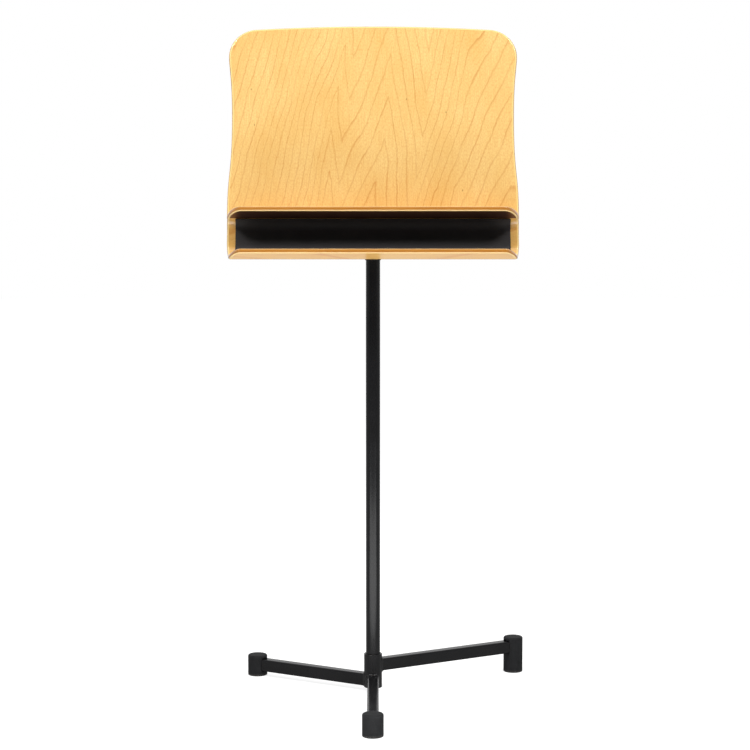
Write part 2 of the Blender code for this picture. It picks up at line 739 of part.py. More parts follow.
add_hub(stand_axis)
for leg_name, (leg_turn, leg_length, leg_bottom, foot_top) in LEGS.items():
    add_leg(stand_axis, leg_name, leg_turn, leg_length, leg_bottom, foot_top)
add_post(stand_axis)
add_clutch(swivel_axis)
add_mast(slide_axis)
add_bracket(tilt_axis)
add_tilt_bolt(tilt_axis)
add_board(tilt_axis)
add_tray(tilt_axis)
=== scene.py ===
"""Looks of the music stand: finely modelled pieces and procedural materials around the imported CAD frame.

Metres, in the row's frame: +Z up, the desk faces -Y. The desk's own frame has the tilt axis as its origin,
+Y to the rear and +Z up along the board.
"""

import json
import math

import bmesh
import bpy
from mathutils import Matrix, Vector
from mathutils.geometry import interpolate_bezier


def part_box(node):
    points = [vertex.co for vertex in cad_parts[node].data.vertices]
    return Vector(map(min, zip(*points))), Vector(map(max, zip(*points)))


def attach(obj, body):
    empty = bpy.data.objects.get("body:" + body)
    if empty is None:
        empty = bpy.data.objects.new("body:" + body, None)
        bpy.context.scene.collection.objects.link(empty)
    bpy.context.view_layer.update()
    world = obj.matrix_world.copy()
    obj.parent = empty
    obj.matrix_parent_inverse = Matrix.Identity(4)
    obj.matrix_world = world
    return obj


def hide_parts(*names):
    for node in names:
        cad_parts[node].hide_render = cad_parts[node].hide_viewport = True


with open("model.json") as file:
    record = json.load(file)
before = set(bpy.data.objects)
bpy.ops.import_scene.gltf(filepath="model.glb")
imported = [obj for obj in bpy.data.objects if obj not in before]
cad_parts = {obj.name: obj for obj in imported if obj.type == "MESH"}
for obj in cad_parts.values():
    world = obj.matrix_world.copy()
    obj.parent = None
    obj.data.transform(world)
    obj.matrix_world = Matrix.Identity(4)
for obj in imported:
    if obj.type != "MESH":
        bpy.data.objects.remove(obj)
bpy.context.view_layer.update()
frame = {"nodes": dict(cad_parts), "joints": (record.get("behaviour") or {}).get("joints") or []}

GAP = 0.0003  # between pieces that touch
QUARTER = math.pi / 2
TURN_STEPS = 72
FINE_TURN_STEPS = 96
SMALL_TURN_STEPS = 48
ON_AXIS = 1e-7
X, Y, Z = range(3)

# Desk, in its own frame. Heights up the board are given above the underside of the lower ledge.
LEAN = math.radians(17)
PLY = 0.008
FACE_Y = -0.032
BACK_Y = FACE_Y + PLY
TRAY_Z = -0.1617
LEDGE_DEPTH = 0.058
TRAY_HALF_WIDTH = 0.2498
CORNER_POWER = 1.7  # 2 would make the corners of the bent sheets elliptical
LOWER_CORNER = (0.0265, 0.076)  # width, and reach along the sheet
UPPER_CORNER = (0.0265, 0.060)
TRAY_BEND = 0.020
TRAY_HEIGHT = 0.0819
EDGE_RADIUS = 0.0034
LINING_THICKNESS = 0.002
LINING_HALF_WIDTH = 0.235
LINING_LOWER_CORNER = (0.020, 0.035)
LINING_UPPER_CORNER = (0.002, 0.002)
LINING_FRONT_MARGIN = 0.010
LINING_BEND_SHARE = 0.82
PAINTED_SHADE_BEND_SHARE = 0.84  # where the painted shade under the upper ledge starts, along the upper bend
BOARD_BOTTOM = 0.0744
BOARD_HIP = (0.2503, 0.0937)
BOARD_WAIST = (0.2441, 0.2397)
BOARD_SHOULDER = (0.2511, 0.3707)
HIP_HANDLE = 0.066  # lengths of the side curve's handles, which all run up and down
LOWER_WAIST_HANDLE = 0.082
UPPER_WAIST_HANDLE = 0.088
SHOULDER_HANDLE = 0.020
BOARD_CORNER_RADIUS = 0.050
BOARD_CORNER_TURN = math.radians(86.7)
BOARD_TOP = 0.4267
BOARD_FOOT_RADIUS = 0.004
CORNER_STEPS = 40
FIRST_CORNER_ROW = 0.0006
CROWN_STEPS = 24
BEND_STEPS = 14

# Tilt joint, in the desk's frame.
HEAD_HALF_WIDTH = 0.011
HEAD_RADIUS = 0.011
SOCKET_RADIUS = 0.0115
SOCKET_BOTTOM = -0.040
SOCKET_FLOOR = -0.016
FRICTION_WASHER = 0.0015
EAR_THICKNESS = 0.003
EAR_RADIUS = 0.012
EAR_EDGE_RADIUS = 0.0004
EAR_WELD_RADIUS = 0.0014
EAR_ROOT = (-0.016, 0.009)  # lowest and highest point of an ear where it meets the plate
PLATE_THICKNESS = 0.003
PLATE_HALF_WIDTH = 0.032
PLATE_BOTTOM = -0.125
PLATE_TOP = 0.070
PLATE_CORNER_RADIUS = 0.008
PLATE_BACK = BACK_Y + GAP + PLATE_THICKNESS
NECK_BOTTOM = -0.020
NECK_EDGE_RADIUS = 0.0007
TILT_BOLT_RADIUS = 0.004
THREAD_PITCH = 0.00125
THREAD_DEPTH = 0.00055
THREAD_TIP = 0.0007
HEX_RADIUS = 0.0073
HEX_END_SHARE = 0.97  # round end face, as a share of the width across the flats
BORE_CHAMFER = 0.0006
SCREW_HEAD_RADIUS = 0.004
SCREW_HEAD_HEIGHT = 0.0022
SCREW_HALF_SPACING = 0.022
CROSS_RECESS = (0.0040, 0.0009, 0.0030)  # length, width and height of the boxes that cut a recess
SCREW_HEIGHTS = {"lower": -0.117, "middle": -0.050, "upper": 0.058}

# Base and post.
TUBE_WALL = 0.0015
TUBE_FILLET = 0.0005
HUB_WEB_BOTTOM = 0.0155
HUB_WEB_TOP = 0.0215
BASE_BOLT_RADIUS = 0.004
BASE_BOLT_HEAD_RADIUS = 0.0068
BASE_BOLT_KEY = (0.0060, 0.00346, 0.0056)
LEG_WIDTH = 0.0195
LEG_EDGE_RADIUS = 0.003
LEG_PAST_FOOT_CENTRE = 0.009
WELD_SIZE = 0.0046
WELD_SINK = 0.0003  # of a weld's toes
WELD_ELBOW = 0.0004
WELD_ROOT = 0.0012  # where a weld closes, under the hub's surface
FOOT_WALL_UNDER_LEG = 0.004
FOOT_EDGE_RADIUS = 0.003
FOOT_SCREW_RADIUS = 0.0025
FOOT_SCREW_HEAD_RADIUS = 0.0045
FOOT_SCREW_KEY = (0.0036, 0.00208, 0.003)
SOLE_GROOVE = (0.0110, 0.0130)  # inner and outer radius
SOLE_GROOVE_DEPTH = 0.0009
LEG_TURNS = {"front": -90, "left": 150, "right": 30}  # direction from the hub, in degrees


def joint_named(name):
    return next(joint for joint in frame["joints"] if joint["name"] == name)


def span(node, axis, origin=0.0):
    """A node's lowest and highest place along an axis, from an origin."""
    return [corner[axis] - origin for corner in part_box(node)]


def radius_of(node, axis=X):
    low, high = span(node, axis)
    return (high - low) / 2


AXIS = Vector(joint_named("desk_tilt")["pos_m"])
POST_AXIS = Vector((AXIS.x, AXIS.y, 0))
STAND = Matrix.Translation(POST_AXIS)
HEAD = Matrix.Translation(AXIS)
DESK = Matrix.Translation(AXIS) @ Matrix.Rotation(-LEAN, 4, "X")
ACROSS = Matrix.Rotation(QUARTER, 4, "Y")  # local Z runs along X
BACKWARD = Matrix.Rotation(-QUARTER, 4, "X")  # local Z runs along +Y


# Node trees


class Nodes:
    """A node tree that is built by calls that return sockets."""

    def __init__(self, tree):
        self.tree = tree

    def node(self, kind, inputs=(), **settings):
        made = self.tree.nodes.new("ShaderNode" + kind)
        for name, value in settings.items():
            setattr(made, name, value)
        for socket, value in dict(inputs).items():
            self.feed(made.inputs[socket], value)
        return made

    def feed(self, socket, value):
        if isinstance(value, bpy.types.NodeSocket):
            self.tree.links.new(value, socket)
        else:
            socket.default_value = value

    def math(self, operation, *values):
        return self.node("Math", enumerate(values), operation=operation).outputs[0]

    def times(self, first, second):
        return self.math("MULTIPLY", first, second)

    def veneer(self):
        return self.split(self.node("Attribute", attribute_name="veneer").outputs["Vector"])

    def object_place(self):
        return self.node("TexCoord").outputs["Object"]

    def is_camera_ray(self):
        return self.node("LightPath").outputs["Is Camera Ray"]

    def split(self, vector):
        return self.node("SeparateXYZ", {0: vector}).outputs

    def joined(self, x, y):
        return self.node("CombineXYZ", {0: x, 1: y}).outputs[0]

    def scaled(self, vector, scale):
        return self.node("VectorMath", {0: vector, 1: scale}, operation="MULTIPLY").outputs[0]

    def noise(self, vector, scale, detail=2.0, roughness=0.5):
        inputs = {"Vector": vector, "Scale": scale, "Detail": detail, "Roughness": roughness}
        return self.node("TexNoise", inputs).outputs["Fac"]

    def stretched(self, vector, scale, detail=2.0, roughness=0.5):
        """Noise with its own scale along each axis."""
        return self.noise(self.scaled(vector, scale), 1.0, detail, roughness)

    def cells(self, vector, scale):
        return self.node("TexVoronoi", {"Vector": vector, "Scale": scale}).outputs["Distance"]

    def spread(self, value, low, high, to_low=0.0, to_high=1.0, soft=False):
        """The value mapped from low..high to to_low..to_high, and held at its ends."""
        inputs = {"Value": value, 1: low, 2: high, 3: to_low, 4: to_high}
        kind = "SMOOTHSTEP" if soft else "LINEAR"
        return self.node("MapRange", inputs, interpolation_type=kind).outputs[0]

    def levels(self, value, stops):
        """A grey ramp through (place, level) stops."""
        made = self.node("ValToRGB", {0: value})
        elements = made.color_ramp.elements
        while len(elements) < len(stops):
            elements.new(0.5)
        for element, (place, level) in zip(elements, stops):
            element.position = place
            element.color = (level, level, level, 1)
        return made.outputs[0]

    def blend(self, share, first, second):
        made = self.node("Mix", data_type="RGBA")
        for socket, value in ((0, share), (6, first), (7, second)):
            if isinstance(value, tuple):
                value = (*value, 1.0)
            self.feed(made.inputs[socket], value)
        return made.outputs[2]

    def tint(self, colour, over, field, low, high, most=1.0):
        """The colour, with another laid over it by up to a share where a field goes from low to high."""
        return self.blend(self.spread(field, low, high, 0.0, most), colour, over)

    def bump(self, height, distance, strength):
        return self.node("Bump", {"Height": height, "Distance": distance, "Strength": strength}).outputs[0]


class Finish(Nodes):
    """A material, its node tree, and its Principled shader with uniform settings."""

    def __init__(self, name, **shader):
        self.material = bpy.data.materials.new(name)
        self.material.use_nodes = True
        super().__init__(self.material.node_tree)
        self.shader = self.tree.nodes["Principled BSDF"]
        for socket, value in shader.items():
            self.shader.inputs[socket.replace("_", " ")].default_value = value

    def finish(self, colour, roughness, normal):
        for socket, value in (("Base Color", colour), ("Roughness", roughness), ("Normal", normal)):
            self.feed(self.shader.inputs[socket], value)
        return self.material


# Wood: "veneer" is (across the grain, along the grain, depth through the ply), in metres.
MAPLE_LIGHT = (0.93, 0.665, 0.260)
MAPLE_MID = (0.85, 0.545, 0.175)
TRAY_LIGHT = (0.86, 0.54, 0.165)
TRAY_MID = (0.76, 0.42, 0.105)
MAPLE_LINE = (0.62, 0.225, 0.045)
MAPLE_SPECK = (0.77, 0.39, 0.105)
MAPLE_PORE = (0.42, 0.20, 0.05)
# (place across the veneer from 0 at its left edge to 1, height there of the surface that the rings cut).
BOARD_FIGURE = (
    (0.0, 1.0), (0.18, 0.72), (0.36, 0.36), (0.395, 0.42),
    (0.53, 0.28), (0.655, 0.46), (0.80, 0.24), (1.0, 0.06),
)
TRAY_FIGURE = ((0.0, 0.30), (0.4, 0.55), (0.6, 0.60), (1.0, 0.40))
PIN_KNOTS = ((0.1265, 0.268), (-0.2115, 0.310), (0.154, 0.127), (-0.205, 0.245), (0.058, 0.292))


def maple(name, figure, rings, half_width, rings_along, knots=(), light=MAPLE_LIGHT, mid=MAPLE_MID):
    """Lacquered maple veneer, with growth lines that are the level lines of a gently waved surface."""
    wood = Finish(name, Specular_IOR_Level=0.15, Coat_Weight=1.0, Coat_Roughness=0.10)
    across, along, _ = wood.veneer()
    sheet = wood.joined(across, along)

    slow = wood.stretched(sheet, (7, 3.2, 1))
    quick = wood.stretched(sheet, (42, 17, 1))
    jitter = wood.stretched(sheet, (170, 85, 1))
    sway = wood.math("MULTIPLY_ADD", slow, 0.055, -0.0275)
    ripple = wood.math("ADD", wood.times(quick, 0.006), wood.times(jitter, 0.003))
    lean = wood.times(along, -0.10)
    shifted = wood.math("ADD", wood.math("ADD", across, lean), wood.math("ADD", sway, ripple))
    share = wood.spread(shifted, -half_width, half_width)
    curve = wood.node("FloatCurve", {"Value": share})
    points = curve.mapping.curves[0].points
    while len(points) < len(figure):
        points.new(0.5, 0.5)
    for point, (where, value) in zip(points, figure):
        point.location = (where, value)
        point.handle_type = "VECTOR"
    curve.mapping.update()
    passed = wood.times(curve.outputs[0], rings)
    level = wood.math("MULTIPLY_ADD", along, rings_along, passed)

    ring = wood.math("FRACT", level)
    rise = wood.spread(ring, 0.80, 0.95, soft=True)
    fall = wood.spread(ring, 0.96, 1, 1, 0)
    late = wood.times(rise, fall)
    faded = wood.spread(wood.stretched(sheet, (30, 9, 1), 3), 0.35, 0.70)
    fine_ring = wood.math("FRACT", wood.math("MULTIPLY_ADD", level, 3.7, quick))
    fine = wood.spread(fine_ring, 0.70, 0.97, 0, 0.22, soft=True)
    lines = wood.times(late, wood.math("MULTIPLY_ADD", faded, 0.60, 0.40))

    fibre = wood.stretched(sheet, (900, 26, 1), 3, 0.6)
    mottle = wood.stretched(sheet, (520, 260, 1), 2, 0.6)
    cloud = wood.stretched(sheet, (13, 6, 1), 3, 0.55)
    fleck = wood.stretched(sheet, (1500, 240, 1), 1)
    pores = wood.spread(fleck, 0.66, 0.78)

    colour = wood.tint(light, mid, cloud, 0.30, 0.72)
    colour = wood.tint(colour, MAPLE_SPECK, fibre, 0.42, 0.70, 0.50)
    colour = wood.tint(colour, MAPLE_SPECK, mottle, 0.44, 0.66, 0.55)
    colour = wood.blend(wood.times(fine, faded), colour, MAPLE_LINE)
    colour = wood.blend(wood.times(lines, 0.62), colour, MAPLE_LINE)
    colour = wood.blend(wood.times(pores, 0.35), colour, MAPLE_PORE)
    for knot_across, knot_along in knots:
        offset = wood.node(
            "VectorMath", {0: sheet, 1: (knot_across, knot_along + TRAY_Z, 0)}, operation="SUBTRACT"
        ).outputs[0]
        reach = wood.node("VectorMath", {0: wood.scaled(offset, (1, 0.55, 1))}, operation="LENGTH")
        dark = wood.spread(reach.outputs["Value"], 0.0005, 0.0014, 0.75, 0)
        colour = wood.blend(dark, colour, MAPLE_PORE)

    relief = wood.math("ADD", wood.times(fibre, 0.5), wood.times(pores, -1))
    normal = wood.bump(relief, 0.00006, 0.35)
    sheen = wood.spread(wood.stretched(sheet, (60, 30, 1)), 0.3, 0.7, 0.30, 0.38)
    return wood.finish(colour, sheen, normal)


def ply_edge(name, lacquer):
    """The lacquered edge of the plywood: a light veneer at each face and darker plies with open end grain."""
    wood = Finish(name, Specular_IOR_Level=0.2, Coat_Weight=lacquer, Coat_Roughness=0.09)
    depth = wood.veneer()[2]
    place = wood.object_place()
    waver = wood.math("MULTIPLY_ADD", wood.noise(place, 35, 2), 0.0004, -0.0002)
    ply = wood.times(wood.math("ADD", depth, waver), 7 / PLY)
    crossed = wood.math("PINGPONG", ply, 1)
    band = wood.spread(crossed, 0.35, 0.65)
    grain = wood.noise(place, 900, 2)
    long_streak = wood.stretched(place, (12, 900, 900), 3)
    colour = wood.blend(band, (0.54, 0.210, 0.023), (0.37, 0.125, 0.013))
    colour = wood.tint(colour, (0.72, 0.36, 0.070), long_streak, 0.40, 0.70, 0.45)
    colour = wood.tint(colour, (0.25, 0.10, 0.02), grain, 0.55, 0.75, 0.35)
    glue = wood.spread(wood.math("PINGPONG", ply, 0.5), 0, 0.07, 0.45, 0)
    colour = wood.blend(glue, colour, (0.20, 0.08, 0.018))
    from_face = wood.math("PINGPONG", wood.math("ADD", depth, waver), PLY / 2)
    colour = wood.blend(wood.spread(from_face, 0.0009, 0.0013, 1, 0), colour, MAPLE_LIGHT)
    normal = wood.bump(grain, 0.00005, 0.3)
    roughness = wood.spread(grain, 0.35, 0.75, 0.22, 0.34)
    return wood.finish(colour, roughness, normal)


def painted_shade_maple(name):
    """Painted shade under the upper ledge: near-black brown wood, lighter towards its ends as painted side
    light.
    """
    wood = Finish(name, Specular_IOR_Level=0.25)
    across, along, _ = wood.veneer()
    sheet = wood.joined(across, along)
    streak = wood.stretched(sheet, (700, 18, 1), 3)
    cloud = wood.stretched(sheet, (20, 9, 1))
    # painted side light: the painted shade lightens towards the ledge's ends, where light comes in from the
    # sides
    painted_side_light = wood.spread(wood.math("ABSOLUTE", along), 0.222, 0.252, 0, 1, soft=True)
    # near-black browns: painted shade, where the upper ledge's underside sits in shadow
    colour = wood.tint((0.020, 0.0075, 0.004), (0.045, 0.017, 0.009), streak, 0.35, 0.70)
    colour = wood.tint(colour, (0.030, 0.011, 0.006), cloud, 0.35, 0.70, 0.5)
    colour = wood.blend(painted_side_light, colour, (0.22, 0.085, 0.027))
    normal = wood.bump(streak, 0.00005, 0.3)
    return wood.finish(colour, wood.spread(streak, 0.3, 0.7, 0.42, 0.52), normal)


def powder_coat(name, scratched=0.0):
    """Satin black powder coat with its fine orange peel, and fine lengthwise rub marks on a sliding tube."""
    coat = Finish(name, Specular_IOR_Level=0.24)
    place = coat.object_place()
    peel = coat.noise(place, 1100, 2, 0.55)
    grit = coat.noise(place, 3600, 1)
    tone = coat.noise(place, 14, 3)
    dust = coat.noise(place, 420, 3, 0.65)
    shade = coat.tint((0.0050, 0.0050, 0.0055), (0.00725, 0.00725, 0.007975), tone, 0.30, 0.70)
    shade = coat.tint(shade, (0.035, 0.034, 0.032), dust, 0.66, 0.80, 0.30)
    gloss = coat.spread(tone, 0.30, 0.70, 0.17, 0.24)
    if scratched:
        rub = coat.stretched(place, (2600, 2600, 9))
        marks = coat.spread(rub, 0.60, 0.74, 0, scratched)
        shade = coat.blend(marks, shade, (0.085, 0.085, 0.090))
        gloss = coat.math("ADD", gloss, coat.times(marks, 0.25))
    height = coat.math("MULTIPLY_ADD", grit, 0.3, peel)
    return coat.finish(shade, gloss, coat.bump(height, 0.00010, 0.35))


def foot_rubber(name):
    """Moulded black rubber with a dull bloom, dusty where it meets the floor."""
    rubber = Finish(name, Specular_IOR_Level=0.22)
    place = rubber.object_place()
    height = rubber.split(place)[2]
    bloom = rubber.noise(place, 95, 4, 0.6)
    mottle = rubber.noise(place, 520, 3, 0.6)
    pebble = rubber.cells(place, 1900)
    shade = rubber.tint((0.0065, 0.0067, 0.0075), (0.014, 0.0144, 0.0155), bloom, 0.34, 0.68)
    shade = rubber.tint(shade, (0.024, 0.0245, 0.026), mottle, 0.50, 0.78, 0.6)
    worn = rubber.times(rubber.spread(height, 0.0008, 0.0050, 0.7, 0), rubber.spread(mottle, 0.3, 0.6))
    shade = rubber.blend(worn, shade, (0.085, 0.080, 0.073))
    relief = rubber.math("MULTIPLY_ADD", pebble, 0.6, mottle)
    return rubber.finish(shade, rubber.spread(bloom, 0.3, 0.7, 0.66, 0.80), rubber.bump(relief, 0.00018, 0.5))


def grained_lining(name):
    """The thin black sheet in the tray: a closed-cell foam with a fine leather grain."""
    foam = Finish(name, Specular_IOR_Level=0.35, Sheen_Weight=0.05, Sheen_Roughness=0.5)
    across, along, _ = foam.veneer()
    sheet = foam.joined(across, along)
    cells = foam.cells(sheet, 900)
    creases = foam.noise(sheet, 380, 4, 0.6)
    cloud = foam.stretched(sheet, (24, 9, 1), 3)
    shade = foam.tint((0.0185, 0.0160, 0.0165), (0.0270, 0.0235, 0.0240), cloud, 0.30, 0.72)
    shade = foam.tint(shade, (0.042, 0.037, 0.038), creases, 0.56, 0.76, 0.55)
    relief = foam.math("MULTIPLY_ADD", creases, 0.8, cells)
    return foam.finish(shade, foam.spread(cloud, 0.3, 0.7, 0.55, 0.68), foam.bump(relief, 0.00016, 0.45))


def speckled(name, shades, specks, clouds, grit, gloss, **shader):
    """Clouds of two shades with fine raised specks of a third.

    Clouds are (scale, detail, roughness) of noise; grit is (scale, low, most share, relief); gloss is a range.
    """
    made = Finish(name, **shader)
    place = made.object_place()
    cloud = made.noise(place, *clouds)
    scale, low, most, relief = grit
    speck = made.noise(place, scale)
    shade = made.tint(made.tint(*shades, cloud, 0.30, 0.70), specks, speck, low, 0.80, most)
    return made.finish(shade, made.spread(cloud, 0.30, 0.70, *gloss), made.bump(speck, relief, 0.35))


def zinc_plate(name):
    """Bright zinc plate on turned and rolled steel, slightly blue."""
    shades, specks = ((0.50, 0.52, 0.55), (0.64, 0.65, 0.64)), (0.36, 0.35, 0.33)
    grit = (1500, 0.60, 0.5, 0.00005)
    return speckled(name, shades, specks, (160, 3, 0.6), grit, (0.24, 0.40), Metallic=1.0)


def moulded_nylon(name):
    shades, specks = ((0.66, 0.65, 0.60), (0.76, 0.75, 0.70)), (0.45, 0.44, 0.40)
    grit = (1400, 0.62, 0.4, 0.00006)
    return speckled(name, shades, specks, (70, 3), grit, (0.42, 0.55), Specular_IOR_Level=0.45)


def pressed_fibre(name):
    fibre = Finish(name, Specular_IOR_Level=0.25)
    place = fibre.object_place()
    strands = fibre.stretched(place, (300, 1700, 900), 4, 0.65)
    shade = fibre.tint((0.115, 0.034, 0.020), (0.215, 0.075, 0.040), strands, 0.30, 0.70)
    return fibre.finish(shade, fibre.spread(strands, 0.3, 0.7, 0.70, 0.88), fibre.bump(strands, 0.00012, 0.6))


# Meshes


def weigh_normals(made):
    made.modifiers.new("weighted normals", "WEIGHTED_NORMAL").keep_sharp = True


def solid(name, shape, finishes, place, sharp=None):
    """A new object from a closed bmesh. It is smooth, apart from edges over the sharp angle in degrees."""
    bmesh.ops.recalc_face_normals(shape, faces=shape.faces)
    mesh = bpy.data.meshes.new(name)
    shape.to_mesh(mesh)
    shape.free()
    mesh.shade_smooth()
    if sharp:
        mesh.set_sharp_from_angle(angle=math.radians(sharp))
    for finish in finishes:
        mesh.materials.append(finish)
    made = bpy.data.objects.new(name, mesh)
    bpy.context.scene.collection.objects.link(made)
    made.matrix_world = place
    weigh_normals(made)
    return made


def skin(shape, rings, closed=False):
    """Faces between neighbouring rings of corners, and from the last ring to the first if it is closed."""
    found = []
    pairs = list(zip(rings, rings[1:]))
    if closed:
        pairs.append((rings[-1], rings[0]))
    for first, second in pairs:
        for step in range(len(first)):
            after = (step + 1) % len(first)
            corners = dict.fromkeys((first[step], first[after], second[after], second[step]))
            found.append(shape.faces.new(corners))
    return found


def piece(made, body, slot, *nodes):
    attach(made, body)
    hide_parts(*nodes)
    return made


def boolean(made, other, operation="DIFFERENCE"):
    """Cuts the other object out of this one, or joins it on, and removes it."""
    made.modifiers.clear()
    change = made.modifiers.new(other.name, "BOOLEAN")
    change.operation = operation
    change.solver = "EXACT"
    change.object = other
    graph = bpy.context.evaluated_depsgraph_get()
    bpy.context.view_layer.update()
    cut = made.evaluated_get(graph)
    final = bpy.data.meshes.new_from_object(cut, preserve_all_data_layers=True, depsgraph=graph)
    made.modifiers.clear()
    made.data = final
    bpy.data.objects.remove(other)
    made.data.shade_smooth()
    made.data.set_sharp_from_angle(angle=math.radians(32))
    weigh_normals(made)


def soften_edges(made, width, segments=3):
    """Rounds the sharp edges, before any other modifier."""
    soften = made.modifiers.new("edges", "BEVEL")
    soften.width = width
    soften.segments = segments
    soften.limit_method = "ANGLE"
    soften.angle_limit = math.radians(50)
    made.modifiers.move(len(made.modifiers) - 1, 0)


def directions(start, end, steps):
    """(cos, sin) at even turns from start to end, both included."""
    turns = (start + (end - start) * step / steps for step in range(steps + 1))
    return [(math.cos(turn), math.sin(turn)) for turn in turns]


def circle(steps):
    return directions(0, math.tau, steps)[:-1]


def runs(path):
    """Each point of a path with the path's unit direction there."""
    for index, here in enumerate(path):
        yield here, (path[min(index + 1, len(path) - 1)] - path[max(index - 1, 0)]).normalized()


def filleted(corners, closed=False, steps=4):
    """A profile whose corners, given as (radius, height, fillet), are rounded."""
    points = []
    for index, (x, z, fillet) in enumerate(corners):
        here = Vector((x, z))
        at_end = not closed and index in (0, len(corners) - 1)
        if at_end or not fillet:
            points.append(here)
            continue
        before = Vector(corners[index - 1][:2]) - here
        after = Vector(corners[(index + 1) % len(corners)][:2]) - here
        half = before.angle(after) / 2
        reach = fillet / math.tan(half)
        first = here + before.normalized() * reach
        last = here + after.normalized() * reach
        centre = here + (before.normalized() + after.normalized()).normalized() * fillet / math.sin(half)
        for step in range(steps + 1):
            chord = first.lerp(last, step / steps) - centre
            points.append(centre + chord.normalized() * fillet)
    return [(point.x, point.y) for point in points]


def lathe(name, profile, finish, place, closed=False, steps=TURN_STEPS):
    """A (radius, height) profile turned about local Z. Points on the axis close the shape."""
    shape = bmesh.new()
    rings = []
    for radius, height in profile:
        if radius < ON_AXIS:
            rings.append([shape.verts.new((0, 0, height))] * steps)
        else:
            rings.append([shape.verts.new((radius * x, radius * y, height)) for x, y in circle(steps)])
    skin(shape, rings, closed)
    return solid(name, shape, [finish], place, 38)


def turned_ring(name, bore, radius, ends, fillet, finish, place, steps=TURN_STEPS, fillet_steps=4):
    """A tube or washer about local Z, with rounded edges."""
    (low, high), inner = ends, fillet / 2
    corners = [(bore, high, inner), (radius, high, fillet), (radius, low, fillet), (bore, low, inner)]
    return lathe(name, filleted(corners, True, fillet_steps), finish, place, True, steps)


def rim_profile(edge, thickness, steps):
    """(inset, depth) pairs that run round a sheet's rounded rim, from its inner face to its outer one."""
    near = [(edge * (1 - y), edge * (1 - x)) for x, y in directions(0, QUARTER, steps)]
    return near + [(inset, thickness - depth) for inset, depth in reversed(near)]


def sheet(name, outline, profile, place_of, finishes, veneer=None, face_finish=None):
    """A sheet in the desk's frame, cut to an outline and laid through place_of(across, along, depth).

    The outline runs up the right half as (across, along, (normal across, normal along)); the left mirrors it.
    Faces take the first finish or the one that face_finish names, and the rim takes the last.
    """
    shape = bmesh.new()
    layer = shape.verts.layers.float_vector.new("veneer")
    loops = []
    for inset, depth in profile:
        loop = []
        for side, points in ((1, outline), (-1, reversed(outline))):
            for half, along, out in points:
                u = side * (half - inset * out[0])
                v = along - inset * out[1]
                vert = shape.verts.new(place_of(u, v, depth))
                vert[layer] = veneer(u, v, depth) if veneer else (u, v, depth)
                loop.append(vert)
        loops.append(loop)
    for face in skin(shape, loops):
        face.material_index = len(finishes) - 1
    for loop, outer in ((loops[0], False), (loops[-1], True)):
        for step in range(len(outline) - 1):
            face = shape.faces.new((loop[step], loop[step + 1], loop[-2 - step], loop[-1 - step]))
            face.material_index = face_finish(outline[step][1], outer) if face_finish else 0
    return solid(name, shape, finishes, DESK)


def corner_arc(half_width, along, radius, start, steps):
    """A quarter turn of outline from the direction start, round a corner's centre."""
    centre, turns = half_width - radius, directions(start, start + QUARTER, steps)
    return [(centre + radius * x, along + radius * y, (x, y)) for x, y in turns]


def bar(name, section, ends, finish, place):
    """A closed section of (y, z) points carried along local X between two ends given as functions of y."""
    shape = bmesh.new()
    rings = [[shape.verts.new((end(y), y, z)) for y, z in section] for end in ends]
    skin(shape, rings)
    for ring in rings:
        shape.faces.new(ring)
    return solid(name, shape, [finish], place, 40)


def slab(name, section, start, thickness, softness, finish, place):
    """A plate with a section of (y, z) points, from a place on local X, with its edges softened."""
    made = bar(name, section, (lambda y: start, lambda y: start + thickness), finish, place)
    soften_edges(made, softness)
    return made


def rounded_rectangle(half_width, low, high, radius, steps, spans=1):
    """Points and outward normals round a rectangle in (y, z), with each long side cut into spans."""
    found = []
    for corner, (side, upper) in enumerate(((1, True), (-1, True), (-1, False), (1, False))):
        centre_y = side * (half_width - radius)
        centre_z = high - radius if upper else low + radius
        for y, z in directions(corner * QUARTER, (corner + 1) * QUARTER, steps):
            found.append((centre_y + radius * y, centre_z + radius * z, (y, z)))
        if corner in (0, 2):
            for part in range(1, spans):
                found.append((centre_y * (1 - 2 * part / spans), found[-1][1], (0, 1 if upper else -1)))
    return found


# Desk


def with_normals(places):
    """(x, y, outward normal) of each point on the right half of an outline that runs upwards."""
    outline = [(here.x, here.y, (run.y, -run.x)) for here, run in runs(places)]
    outline[0] = (*outline[0][:2], (0.0, -1.0))
    outline[-1] = (*outline[-1][:2], (0.0, 1.0))
    return outline


def board_outline():
    def knot(place):
        return Vector((place[0], place[1] + TRAY_Z, 0))

    def up(length):
        return Vector((0, length, 0))

    hip, waist, shoulder = knot(BOARD_HIP), knot(BOARD_WAIST), knot(BOARD_SHOULDER)
    foot_centre = BOARD_BOTTOM + TRAY_Z + BOARD_FOOT_RADIUS
    foot = corner_arc(hip.x, foot_centre, BOARD_FOOT_RADIUS, -QUARTER, 8)
    places = [Vector((half, along, 0)) for half, along, _ in foot]
    places += interpolate_bezier(hip, hip + up(HIP_HANDLE), waist - up(LOWER_WAIST_HANDLE), waist, 30)
    places += interpolate_bezier(
        waist, waist + up(UPPER_WAIST_HANDLE), shoulder - up(SHOULDER_HANDLE), shoulder, 30
    )[1:]
    centre = shoulder - Vector((BOARD_CORNER_RADIUS, 0, 0))
    for x, y in directions(0, BOARD_CORNER_TURN, 26)[1:]:
        places.append(centre + BOARD_CORNER_RADIUS * Vector((x, y, 0)))
    start = places[-1]
    crown = BOARD_TOP + TRAY_Z - start.y
    for step in range(1, CROWN_STEPS):
        left = 1 - step / CROWN_STEPS
        places.append(Vector((start.x * left, start.y + crown * (1 - left**2), 0)))
    return with_normals(places)


def make_board(veneer, rim):
    made = sheet(
        "maple_desk_board", board_outline(), rim_profile(EDGE_RADIUS, PLY, 7),
        lambda u, v, depth: (u, FACE_Y + depth, v), [veneer, rim],
    )
    return piece(made, "desk", "maple_ply", "desk_board")


